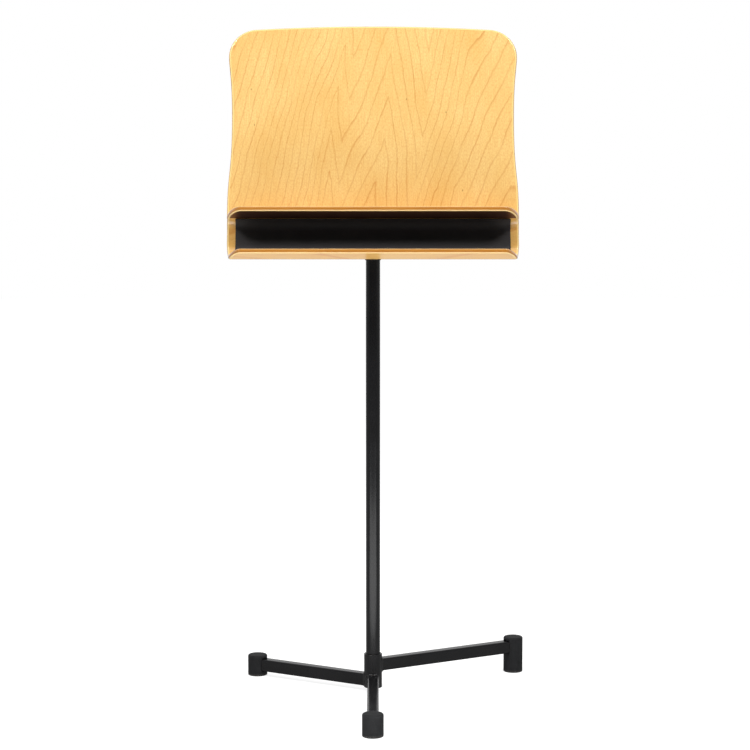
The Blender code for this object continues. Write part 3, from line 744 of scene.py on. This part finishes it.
BEND_LENGTH = QUARTER * TRAY_BEND
LEDGE_FLAT = LEDGE_DEPTH - TRAY_BEND
WALL_FLAT = TRAY_HEIGHT - 2 * PLY - 2 * TRAY_BEND
WALL_START = LEDGE_FLAT + BEND_LENGTH
UPPER_BEND_START = WALL_START + WALL_FLAT
UPPER_LEDGE_START = UPPER_BEND_START + BEND_LENGTH
# where the painted shade under the upper ledge starts, along the bent blank
PAINTED_SHADE_START = UPPER_BEND_START + PAINTED_SHADE_BEND_SHARE * BEND_LENGTH
BLANK_LENGTH = UPPER_LEDGE_START + LEDGE_FLAT


def tray_place(u, s, depth):
    """A point of the tray's blank, bent: s runs from the lower ledge's front, depth away from the inside."""
    lower_centre = PLY + TRAY_BEND
    upper_centre = TRAY_HEIGHT - PLY - TRAY_BEND
    if s < LEDGE_FLAT:
        forward, height = LEDGE_DEPTH - s, PLY - depth
    elif s < WALL_START:
        turn = (s - LEDGE_FLAT) / TRAY_BEND
        forward = TRAY_BEND - (TRAY_BEND + depth) * math.sin(turn)
        height = lower_centre - (TRAY_BEND + depth) * math.cos(turn)
    elif s < UPPER_BEND_START:
        forward, height = -depth, lower_centre + s - WALL_START
    elif s < UPPER_LEDGE_START:
        turn = (s - UPPER_BEND_START) / TRAY_BEND
        forward = TRAY_BEND - (TRAY_BEND + depth) * math.cos(turn)
        height = upper_centre + (TRAY_BEND + depth) * math.sin(turn)
    else:
        forward, height = TRAY_BEND + s - UPPER_LEDGE_START, TRAY_HEIGHT - PLY + depth
    return (u, FACE_Y - forward, height + TRAY_Z)


def corner_inset(width, reach, back):
    """How far a round corner takes in a sheet's side, at a distance back from the sheet's front."""
    if back >= reach:
        return 0.0
    return width * (1 - (1 - (1 - back / reach) ** CORNER_POWER) ** (1 / CORNER_POWER))


def corner_rows(reach):
    """Distances back from a sheet's front at which a corner's curve is cut into even turns."""
    rows = [reach * (1 - x ** (2 / CORNER_POWER)) for x, _ in directions(0, QUARTER, CORNER_STEPS)]
    return [0.0] + [row for row in rows if row > FIRST_CORNER_ROW]


def blank_outline(half_width, start, end, lower, upper):
    """The right half of a blank with round corners, with rows at every step of the bends."""
    rows = {start + back for back in corner_rows(lower[1])} | {end - back for back in corner_rows(upper[1])}
    for bend_start in (LEDGE_FLAT, UPPER_BEND_START):
        steps = (bend_start + BEND_LENGTH * step / BEND_STEPS for step in range(BEND_STEPS + 1))
        rows |= {row for row in steps if start + lower[1] < row < end - upper[1]}
    rows = {row for row in rows if abs(row - PAINTED_SHADE_START) > 0.0003}
    if end > PAINTED_SHADE_START:
        rows.add(PAINTED_SHADE_START)
    return with_normals([
        Vector((half_width - corner_inset(*lower, row - start) - corner_inset(*upper, end - row), row, 0))
        for row in sorted(rows)
    ])


def make_tray(veneer, ledge_shade_finish, rim):
    # inner faces from the start of the painted shade onwards take the finish with painted shade under the upper
    # ledge
    def face_finish(s, outer):
        return int(not outer and s >= PAINTED_SHADE_START - 1e-6)

    made = sheet(
        "bent_ply_tray", blank_outline(TRAY_HALF_WIDTH, 0, BLANK_LENGTH, LOWER_CORNER, UPPER_CORNER),
        rim_profile(EDGE_RADIUS, PLY, 7), tray_place, [veneer, ledge_shade_finish, rim],
        lambda u, s, depth: (s, u, depth), face_finish,
    )
    return piece(made, "desk", "maple_ply", "storage_tray")


def make_lining(foam):
    end = UPPER_BEND_START + LINING_BEND_SHARE * BEND_LENGTH
    outline = blank_outline(
        LINING_HALF_WIDTH, LINING_FRONT_MARGIN, end, LINING_LOWER_CORNER, LINING_UPPER_CORNER
    )
    profile = [
        (inset, depth - GAP - LINING_THICKNESS) for inset, depth in rim_profile(0.0005, LINING_THICKNESS, 3)
    ]
    made = sheet("tray_lining_sheet", outline, profile, tray_place, [foam])
    return piece(made, "desk", "black_lining", "tray_lining")


# Hardware


def hexagon(name, low, high, bore, finish, place, both_ends=False):
    """A hexagonal head or nut along local Z, with its corners turned off at 30 degrees."""
    flat = HEX_RADIUS * math.cos(math.pi / 6)
    end_radius = flat * HEX_END_SHARE
    shape = bmesh.new()

    def ring(level, radius=None, drop=0):
        """A circle, or without a radius the hexagon, whose corners drop 1 raises and drop -1 lowers."""
        found = []
        for step in range(TURN_STEPS):
            turn = math.tau * step / TURN_STEPS
            here = radius or flat / math.cos((turn + math.pi / 6) % (math.pi / 3) - math.pi / 6)
            height = level + drop * max(here - end_radius, 0) * math.tan(math.pi / 6)
            found.append(shape.verts.new((here * math.cos(turn), here * math.sin(turn), height)))
        return found

    lower = ring(low, drop=int(both_ends))
    rings = [ring(high, end_radius), ring(high, drop=-1), lower, ring(low, end_radius)]
    if bore:
        mouth, chamfer = bore + BORE_CHAMFER, BORE_CHAMFER
        rings += [ring(low, mouth), ring(low + chamfer, bore), ring(high - chamfer, bore), ring(high, mouth)]
    else:
        shape.faces.new(rings[0])
        shape.faces.new(rings[-1])
    skin(shape, rings, bool(bore))
    return solid(name, shape, [finish], place, 20)


def threaded(radius, low, high):
    """The profile of a threaded end: a chamfered tip and rows of crests, from the tip down to low."""
    points = [(0, high), (radius - THREAD_TIP, high), (radius, high - BORE_CHAMFER)]
    level = high - BORE_CHAMFER - THREAD_PITCH / 2
    while level > low:
        points += [(radius - THREAD_DEPTH, level), (radius, level - THREAD_PITCH / 2)]
        level -= THREAD_PITCH
    return points + [(radius, low), (0, low)]


def cut_recess(head, size, level, angles, finish, place, tip_share=1.0):
    """Cuts boxes, turned by angles about local Z and narrower at their lower ends, out of a head."""
    for angle in angles:
        shape = bmesh.new()
        bmesh.ops.create_cube(shape, size=1.0)
        bmesh.ops.scale(shape, vec=size, verts=shape.verts)
        for vert in shape.verts:
            if vert.co.z < 0:
                vert.co.x *= tip_share
        turned = place @ Matrix.Translation((0, 0, level)) @ Matrix.Rotation(math.radians(angle), 4, "Z")
        boolean(head, solid(f"recess_{angle}", shape, [finish], turned, 30))


def recessed_head(name, finish):
    """A pan head along local Z with a cross recess, its seat at zero, as a mesh that the screws share."""
    radius, height = SCREW_HEAD_RADIUS, SCREW_HEAD_HEIGHT
    profile = [(0, height), (radius * 0.45, height - 0.00008), (radius * 0.72, height - 0.00035)]
    profile += [(radius * 0.92, height * 0.60), (radius, height * 0.34), (radius, 0), (0, 0)]
    head = lathe(name, profile, finish, Matrix(), steps=SMALL_TURN_STEPS)
    cut_recess(head, CROSS_RECESS, height, (0, 90), finish, Matrix(), 0.45)
    return head


def socket_screw(name, radius, head_radius, ends, under_head, head_fillet, key, finish, place, steps):
    """A screw that points up local Z, with a hexagonal recess in its round head."""
    low, high = ends
    corners = [
        (0, high, 0), (radius, high, 0.0008), (radius, under_head, 0), (head_radius, under_head, 0.0003),
        (head_radius, low, head_fillet), (0, low, 0),
    ]
    screw = lathe(name, filleted(corners), finish, place, steps=steps)
    cut_recess(screw, key, low, (0, 60, 120), finish, place)
    return screw


def make_screws(zinc):
    pattern = recessed_head("pan_head_screw", zinc)
    for index, (place, height) in enumerate(SCREW_HEIGHTS.items()):
        for side, sign in (("left", -1), ("right", 1)):
            made = bpy.data.objects.new(f"screw_{place}_{side}", pattern.data)
            bpy.context.scene.collection.objects.link(made)
            spin = Matrix.Rotation(math.radians(17 + 40 * index + 25 * sign), 4, "Z")
            hole = Matrix.Translation((sign * SCREW_HALF_SPACING, PLATE_BACK + GAP, height))
            made.matrix_world = DESK @ hole @ BACKWARD @ spin
            piece(made, "desk", "zinc_steel", f"desk_screw_{place}_{side}")
    bpy.data.objects.remove(pattern)


def bead(name, path, radius, finish, place):
    """A weld bead: a rippled tube along a path with tapered ends."""
    shape = bmesh.new()
    rings = []
    for index, (here, run) in enumerate(runs(path)):
        side = run.orthogonal().normalized()
        up = run.cross(side)
        share = index / (len(path) - 1)
        taper = min(1.0, 6 * share + 0.25, 6 * (1 - share) + 0.25)
        size = radius * taper * (1 + 0.12 * math.sin(index * QUARTER))
        rings.append([shape.verts.new(here + size * (side * x + up * y)) for x, y in circle(10)])
    skin(shape, rings)
    shape.faces.new(rings[0])
    shape.faces.new(rings[-1])
    return solid(name, shape, [finish], place, 60)


def ear_outline():
    """The ear in (y, z): a round end about the bolt, and straight sides to its root on the plate."""
    roots = [Vector((PLATE_BACK - 0.001, level)) for level in EAR_ROOT]
    start, end = (
        math.atan2(root.y, root.x) + turn * math.acos(EAR_RADIUS / root.length)
        for root, turn in zip(roots, (1, -1))
    )
    round_end = [(EAR_RADIUS * y, EAR_RADIUS * z) for y, z in directions(start, end, 32)]
    return [tuple(roots[0]), *round_end, tuple(roots[1])]


def make_ear(side, sign, steel):
    inner = sign * (HEAD_HALF_WIDTH + 2 * GAP + FRICTION_WASHER)
    outside = inner + sign * EAR_THICKNESS
    ear = slab(f"bracket_ear_{side}", ear_outline(), inner, sign * EAR_THICKNESS, EAR_EDGE_RADIUS, steel, DESK)
    piece(ear, "desk", "black_steel")
    low, high = EAR_ROOT
    path = [Vector((outside, PLATE_BACK, low + (high - low) * step / 40)) for step in range(41)]
    piece(bead(f"bracket_weld_{side}", path, EAR_WELD_RADIUS, steel, DESK), "desk", "black_steel")


def make_bracket(steel):
    near = BACK_Y + GAP
    middle = (PLATE_BOTTOM + PLATE_TOP) / 2
    reach = (PLATE_TOP - PLATE_BOTTOM) / 2
    outline = corner_arc(PLATE_HALF_WIDTH, PLATE_CORNER_RADIUS - reach, PLATE_CORNER_RADIUS, -QUARTER, 10)
    outline += corner_arc(PLATE_HALF_WIDTH, reach - PLATE_CORNER_RADIUS, PLATE_CORNER_RADIUS, 0, 10)
    made = sheet(
        "bracket_plate", outline, rim_profile(0.0006, PLATE_THICKNESS, 3),
        lambda u, v, depth: (u, near + depth, middle + v), [steel],
    )
    piece(made, "desk", "black_steel", "desk_bracket")
    for side, sign in (("left", -1), ("right", 1)):
        make_ear(side, sign, steel)


def make_tilt_bolt(zinc, fibre):
    place = DESK @ ACROSS
    hole = TILT_BOLT_RADIUS + GAP
    for side in ("left", "right"):
        for node, slot, finish, fillet in (
            (f"friction_washer_{side}", "fibre", fibre, 0.00015),
            (f"tilt_washer_{side}", "zinc_steel", zinc, 0.00035),
        ):
            ends = span(node, X, AXIS.x)
            washer = turned_ring(
                f"turned_{node}", hole, radius_of(node, Y), ends, fillet, finish, place, fillet_steps=3
            )
            piece(washer, "desk", slot, node)
    low, high = span("disc_spring", X, AXIS.x)
    radius = radius_of("disc_spring", Y)
    cone = [(hole, high), (radius, low + 0.0006), (radius, low), (hole, high - 0.0007)]
    piece(lathe("turned_disc_spring", cone, zinc, place, True), "desk", "zinc_steel", "disc_spring")
    nut = hexagon("chamfered_nut", *span("tilt_nut", X, AXIS.x), hole, zinc, place, True)
    piece(nut, "desk", "zinc_steel", "tilt_nut")
    low, high = span("tilt_bolt", X, AXIS.x)
    head_from = span("tilt_washer_right", X, AXIS.x)[1] + GAP
    piece(hexagon("chamfered_bolt_head", head_from, high, 0, zinc, place), "desk", "zinc_steel", "tilt_bolt")
    flipped = DESK @ Matrix.Rotation(-QUARTER, 4, "Y")
    shank = lathe("threaded_shank", threaded(TILT_BOLT_RADIUS, -head_from - 0.001, -low), zinc, flipped)
    piece(shank, "desk", "zinc_steel")


# Post and mast


def make_post(steel, worn_steel):
    radius, mast_radius = radius_of("post_tube"), radius_of("mast_tube")
    ends = span("post_tube", Z)
    tube = turned_ring(
        "powder_coated_post", radius - TUBE_WALL, radius, ends, TUBE_FILLET, steel, STAND, FINE_TURN_STEPS
    )
    piece(tube, "base", "black_steel", "post_tube")

    bottom, top = span("post_collar", Z)
    outer, seat = radius_of("post_collar"), ends[1] + GAP
    lip, grip = mast_radius + 2 * GAP, radius + GAP
    corners = [
        (lip, top, 0.0004), (outer, top, 0.0012), (outer, bottom, 0.0008), (grip, bottom, 0.0003),
        (grip, seat, 0), (lip, seat, 0),
    ]
    collar = lathe("post_top_collar", filleted(corners, True), steel, STAND, True, FINE_TURN_STEPS)
    piece(collar, "base", "black_steel", "post_collar")

    ends = span("mast_tube", Z, AXIS.z)
    tube = turned_ring(
        "sliding_mast", mast_radius - TUBE_WALL, mast_radius, ends, TUBE_FILLET, worn_steel, HEAD
    )
    piece(tube, "mast", "black_steel", "mast_tube")


def make_head(steel, zinc):
    bore, web = radius_of("mast_tube") + GAP, SOCKET_FLOOR + 0.003
    socket = filleted([
        (0, web, 0), (SOCKET_RADIUS, web, 0.001), (SOCKET_RADIUS, SOCKET_BOTTOM, 0.0008),
        (bore, SOCKET_BOTTOM, 0.0003), (bore, SOCKET_FLOOR, 0), (0, SOCKET_FLOOR, 0),
    ])
    head = lathe("tilt_head_casting", socket, steel, HEAD)
    crown = [(HEAD_RADIUS * y, HEAD_RADIUS * z) for y, z in directions(0, math.pi, 36)]
    outline = [(HEAD_RADIUS, NECK_BOTTOM), *crown, (-HEAD_RADIUS, NECK_BOTTOM)]
    neck = slab("tilt_head_neck", outline, -HEAD_HALF_WIDTH, 2 * HEAD_HALF_WIDTH, NECK_EDGE_RADIUS, steel, HEAD)
    boolean(head, neck, "UNION")
    piece(head, "mast", "black_steel", "tilt_head")

    low, high = span("mast_cross_pin", Y, AXIS.y)
    radius = radius_of("mast_cross_pin")
    height = sum(span("mast_cross_pin", Z, AXIS.z)) / 2
    corners = [(0, high, 0), (radius, high, 0.0004), (radius, low, 0.0004), (0, low, 0)]
    pin_place = HEAD @ Matrix.Translation((0, 0, height)) @ BACKWARD
    pin = lathe("rounded_cross_pin", filleted(corners), zinc, pin_place, steps=32)
    piece(pin, "mast", "zinc_steel", "mast_cross_pin")


# Base


def make_hub(steel):
    low, high = span("hub_sleeve", Z)
    radius, bore = radius_of("hub_sleeve"), radius_of("post_tube") + GAP
    recess, hole = radius_of("base_washer") + GAP, BASE_BOLT_RADIUS + GAP
    corners = [
        (bore, high, 0.0005), (radius, high, 0.0012), (radius, low, 0.0010), (recess, low, 0.0004),
        (recess, HUB_WEB_BOTTOM, 0), (hole, HUB_WEB_BOTTOM, 0), (hole, HUB_WEB_TOP, 0), (bore, HUB_WEB_TOP, 0),
    ]
    hub = lathe("hub_tube", filleted(corners, True), steel, STAND, True, FINE_TURN_STEPS)
    piece(hub, "base", "black_steel", "hub_sleeve")


def fillet_weld(name, low, high, finish, place):
    """The concave weld where a bar meets the hub: a strip between a line on each, closed under the surface."""
    hub_radius = radius_of("hub_sleeve")
    floor = span("hub_sleeve", Z)[0] + 0.0004
    shape = bmesh.new()

    def on_hub(corner, away, sink):
        y, z, out = corner
        side, level = y + out[0] * away, max(z + out[1] * away, floor)
        return Vector((math.sqrt((hub_radius - sink) ** 2 - side**2), side, level))

    strips = []
    for index, corner in enumerate(rounded_rectangle(LEG_WIDTH / 2, low, high, LEG_EDGE_RADIUS, 6, 16)):
        reach = WELD_SIZE * (1 + 0.06 * math.sin(index * 2.1) + 0.04 * math.sin(index * 5.3))
        out = corner[2]
        top = on_hub(corner, reach, WELD_SINK)
        foot = on_hub(corner, 0, 0) + Vector((reach, -WELD_SINK * out[0], -WELD_SINK * out[1]))
        elbow = on_hub(corner, WELD_ELBOW, 0) + Vector((WELD_ELBOW, 0, 0))
        curve = interpolate_bezier(top, top.lerp(elbow, 0.62), foot.lerp(elbow, 0.62), foot, 6)
        inside = on_hub(corner, -WELD_ROOT, WELD_ROOT)
        strips.append([shape.verts.new(point) for point in [*curve, inside]])
    skin(shape, strips, True)
    return solid(name, shape, [finish], place, 70)


def make_foot(name, foot_radius, top, leg_low, rubber, place):
    """A rubber foot with a crowned top, a groove round its sole and a stepped hole for its screw."""
    seat, hole_end = leg_low - FOOT_WALL_UNDER_LEG, leg_low + 0.001
    groove_in, groove_out = SOLE_GROOVE
    recess, hole = radius_of(f"foot_washer_{name}") + GAP, FOOT_SCREW_RADIUS + GAP
    corners = [
        (0, top, 0), (foot_radius * 0.62, top, 0.02), (foot_radius, top - 0.0003, FOOT_EDGE_RADIUS),
        (foot_radius, 0, 0.0016), (groove_out, 0, 0.0004), (groove_out - 0.0004, SOLE_GROOVE_DEPTH, 0.0002),
        (groove_in + 0.0004, SOLE_GROOVE_DEPTH, 0.0002), (groove_in, 0, 0.0004), (recess, 0, 0.0004),
        (recess, seat, 0), (hole, seat, 0), (hole, hole_end, 0), (0, hole_end, 0),
    ]
    return lathe(f"rubber_foot_{name}", filleted(corners, steps=5), rubber, place, steps=FINE_TURN_STEPS)


def make_leg(name, steel, rubber, zinc):
    """One bar with its weld, its rubber foot, and the screw and washer under the foot."""
    place = STAND @ Matrix.Rotation(math.radians(LEG_TURNS[name]), 4, "Z")
    low, high = span(f"leg_{name}", Z)
    foot_low, foot_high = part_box(f"foot_{name}")
    foot_centre = (foot_low + foot_high) / 2 - POST_AXIS
    foot_centre.z = 0
    length = foot_centre.length
    end = length + LEG_PAST_FOOT_CENTRE
    half = LEG_WIDTH / 2
    root = radius_of("hub_sleeve") - 0.0008

    section = [(y, z) for y, z, _ in rounded_rectangle(half, low, high, LEG_EDGE_RADIUS, 6, 12)]
    leg_ends = (lambda y: math.sqrt(root**2 - y**2), lambda y: end)
    piece(bar(f"leg_bar_{name}", section, leg_ends, steel, place), "base", "black_steel", f"leg_{name}")
    piece(fillet_weld(f"weld_{name}", low, high, steel, place), "base", "black_steel")

    foot_place = STAND @ Matrix.Translation(foot_centre)
    foot = make_foot(name, radius_of(f"foot_{name}"), foot_high.z, low, rubber, foot_place)
    pocket = rounded_rectangle(half + GAP, low - GAP, high + GAP, LEG_EDGE_RADIUS + GAP, 6)
    pocket_ends = (lambda y: length - 0.03, lambda y: end + GAP)
    boolean(foot, bar(f"pocket_{name}", [(y, z) for y, z, _ in pocket], pocket_ends, rubber, place))
    piece(foot, "base", "foot_rubber", f"foot_{name}")

    washer_node, screw_node = f"foot_washer_{name}", f"foot_screw_{name}"
    washer_ends = span(washer_node, Z)
    washer = turned_ring(
        f"foot_screw_washer_{name}", FOOT_SCREW_RADIUS + GAP, radius_of(washer_node), washer_ends, 0.0003,
        zinc, foot_place, SMALL_TURN_STEPS, 3,
    )
    piece(washer, "base", "zinc_steel", washer_node)
    screw = socket_screw(
        f"foot_screw_head_{name}", FOOT_SCREW_RADIUS, FOOT_SCREW_HEAD_RADIUS, span(screw_node, Z),
        washer_ends[0] - GAP, 0.0009, FOOT_SCREW_KEY, zinc, foot_place, SMALL_TURN_STEPS,
    )
    piece(screw, "base", "zinc_steel", screw_node)


def make_base_bolt(zinc):
    ends = span("base_washer", Z)
    radius = radius_of("base_washer")
    washer = turned_ring("base_bolt_washer", BASE_BOLT_RADIUS + GAP, radius, ends, 0.0004, zinc, STAND)
    piece(washer, "base", "zinc_steel", "base_washer")
    bolt = socket_screw(
        "base_socket_bolt", BASE_BOLT_RADIUS, BASE_BOLT_HEAD_RADIUS, span("base_bolt", Z), ends[0] - GAP,
        0.0010, BASE_BOLT_KEY, zinc, STAND, TURN_STEPS,
    )
    piece(bolt, "base", "zinc_steel", "base_bolt")


def dress_kept_node(name, finish):
    """Gives a node that keeps its CAD mesh a material and softened edges."""
    node = frame["nodes"][name]
    node.data.materials.clear()
    node.data.materials.append(finish)
    soften_edges(node, 0.0002, 2)


# Studio

CAMERA_DISTANCE = 3.470  # from the post's axis
CAMERA_HEIGHT = 0.876
CAMERA_SIDE = 0.0035
CAMERA_PITCH = math.radians(5.14)
CAMERA_LENS = 95.4


def make_camera():
    data = bpy.data.cameras.new("camera")
    data.lens = CAMERA_LENS
    data.sensor_width = 36
    data.clip_end = 100
    camera = bpy.data.objects.new("camera", data)
    camera.location = POST_AXIS + Vector((CAMERA_SIDE, -CAMERA_DISTANCE, CAMERA_HEIGHT))
    camera.rotation_euler = (QUARTER - CAMERA_PITCH, 0, 0)
    bpy.context.scene.collection.objects.link(camera)
    bpy.context.scene.camera = camera


def softbox(name, azimuth, elevation, distance, size, power, aim):
    """A rectangular light that faces the aim point. Azimuth 0 is the camera's side."""
    side, rise = math.radians(azimuth), math.radians(elevation)
    toward = Vector((math.sin(side) * math.cos(rise), -math.cos(side) * math.cos(rise), math.sin(rise)))
    data = bpy.data.lights.new(name, "AREA")
    data.shape = "RECTANGLE"
    data.size, data.size_y = size
    data.energy = power
    light = bpy.data.objects.new(name, data)
    light.location = aim + toward * distance
    light.rotation_euler = toward.to_track_quat("Z", "Y").to_euler()
    light.visible_camera = False
    bpy.context.scene.collection.objects.link(light)


# Azimuth and elevation in degrees from the camera's side, distance, size, and power in watts.
SOFTBOXES = {
    "left_softbox": (-39, 47, 3.4, (0.7, 0.7), 58),
    "right_softbox": (39, 47, 3.4, (0.7, 0.7), 58),
    "overhead_softbox": (0, 80, 2.6, (2.4, 2.4), 20),
    "low_softbox": (0, -58, 1.05, (1.6, 0.5), 10),
}
FLOOR_RADIUS = 14.0
FLOOR_GLOW = 0.08
FLOOR_CAMERA_GLOW = 0.70  # added where the camera looks straight at the floor
# (place, level): how bright the studio is, from place 0 behind the camera to 1 behind the object.
STUDIO_LEVELS = ((0.18, 0.03), (0.32, 0.55), (0.42, 0.58), (0.55, 0.45), (0.80, 0.85))


def make_world():
    """White to the camera and behind the object, and dimmer on the camera's side, like a studio's front."""
    world = bpy.data.worlds.new("studio")
    world.use_nodes = True
    studio = Nodes(world.node_tree)
    direction = studio.split(studio.node("TexCoord").outputs["Generated"])
    level = studio.levels(studio.math("MULTIPLY_ADD", direction["Y"], 0.5, 0.5), STUDIO_LEVELS)
    strength = studio.node("Mix", {0: studio.is_camera_ray(), 2: level, 3: 1.0}).outputs[0]
    background = world.node_tree.nodes["Background"]
    background.inputs["Color"].default_value = (1, 1, 1, 1)
    studio.feed(background.inputs["Strength"], strength)
    bpy.context.scene.world = world


def make_floor():
    shape = bmesh.new()
    bmesh.ops.create_circle(shape, cap_ends=True, segments=96, radius=FLOOR_RADIUS)
    mesh = bpy.data.meshes.new("studio_floor")
    shape.to_mesh(mesh)
    shape.free()
    paper = Finish("pale_paper", Roughness=0.9, Specular_IOR_Level=0.0, Emission_Color=(1, 1, 1, 1))
    mottle = paper.noise(paper.object_place(), 3.0, 2.0)
    glow = paper.math("MULTIPLY_ADD", paper.is_camera_ray(), FLOOR_CAMERA_GLOW, FLOOR_GLOW)
    paper.feed(paper.shader.inputs["Base Color"], paper.blend(mottle, (0.44, 0.44, 0.44), (0.46, 0.46, 0.46)))
    paper.feed(paper.shader.inputs["Emission Strength"], glow)
    mesh.materials.append(paper.material)
    floor = bpy.data.objects.new("studio_floor", mesh)
    floor.location.z = -0.0002
    bpy.context.scene.collection.objects.link(floor)


def make_studio():
    make_camera()
    make_world()
    make_floor()
    for name, settings in SOFTBOXES.items():
        softbox(name, *settings, AXIS + Vector((0, 0, 0.05)))
    bpy.context.scene.view_settings.view_transform = "Standard"


def make_stand():
    steel = powder_coat("black_powder_coat")
    zinc = zinc_plate("bright_zinc")
    nylon = moulded_nylon("clutch_nylon")
    rubber = foot_rubber("moulded_foot_rubber")

    board_veneer = maple("maple_board_veneer", BOARD_FIGURE, 22.0, 0.252, 13.0, PIN_KNOTS)
    make_board(board_veneer, ply_edge("board_ply_edge", 0.25))
    tray_veneer = maple("maple_tray_veneer", TRAY_FIGURE, 9.0, 0.16, 5.0, (), TRAY_LIGHT, TRAY_MID)
    # the upper ledge's underside takes a finish with painted shade
    make_tray(tray_veneer, painted_shade_maple("painted_ledge_underside_shade"), ply_edge("lacquered_ply_edge", 1.0))
    make_lining(grained_lining("grained_black_lining"))
    make_bracket(steel)
    make_screws(zinc)
    make_tilt_bolt(zinc, pressed_fibre("friction_fibre"))
    make_post(steel, powder_coat("rubbed_powder_coat", 0.5))
    make_head(steel, zinc)
    make_hub(steel)
    for name in LEG_TURNS:
        make_leg(name, steel, rubber, zinc)
    make_base_bolt(zinc)
    for node in ("clutch_sleeve", "mast_guide_plug"):
        dress_kept_node(node, nylon)
    for node in ("clutch_band_lower", "clutch_band_upper", "post_plug"):
        dress_kept_node(node, zinc)


make_stand()
make_studio()
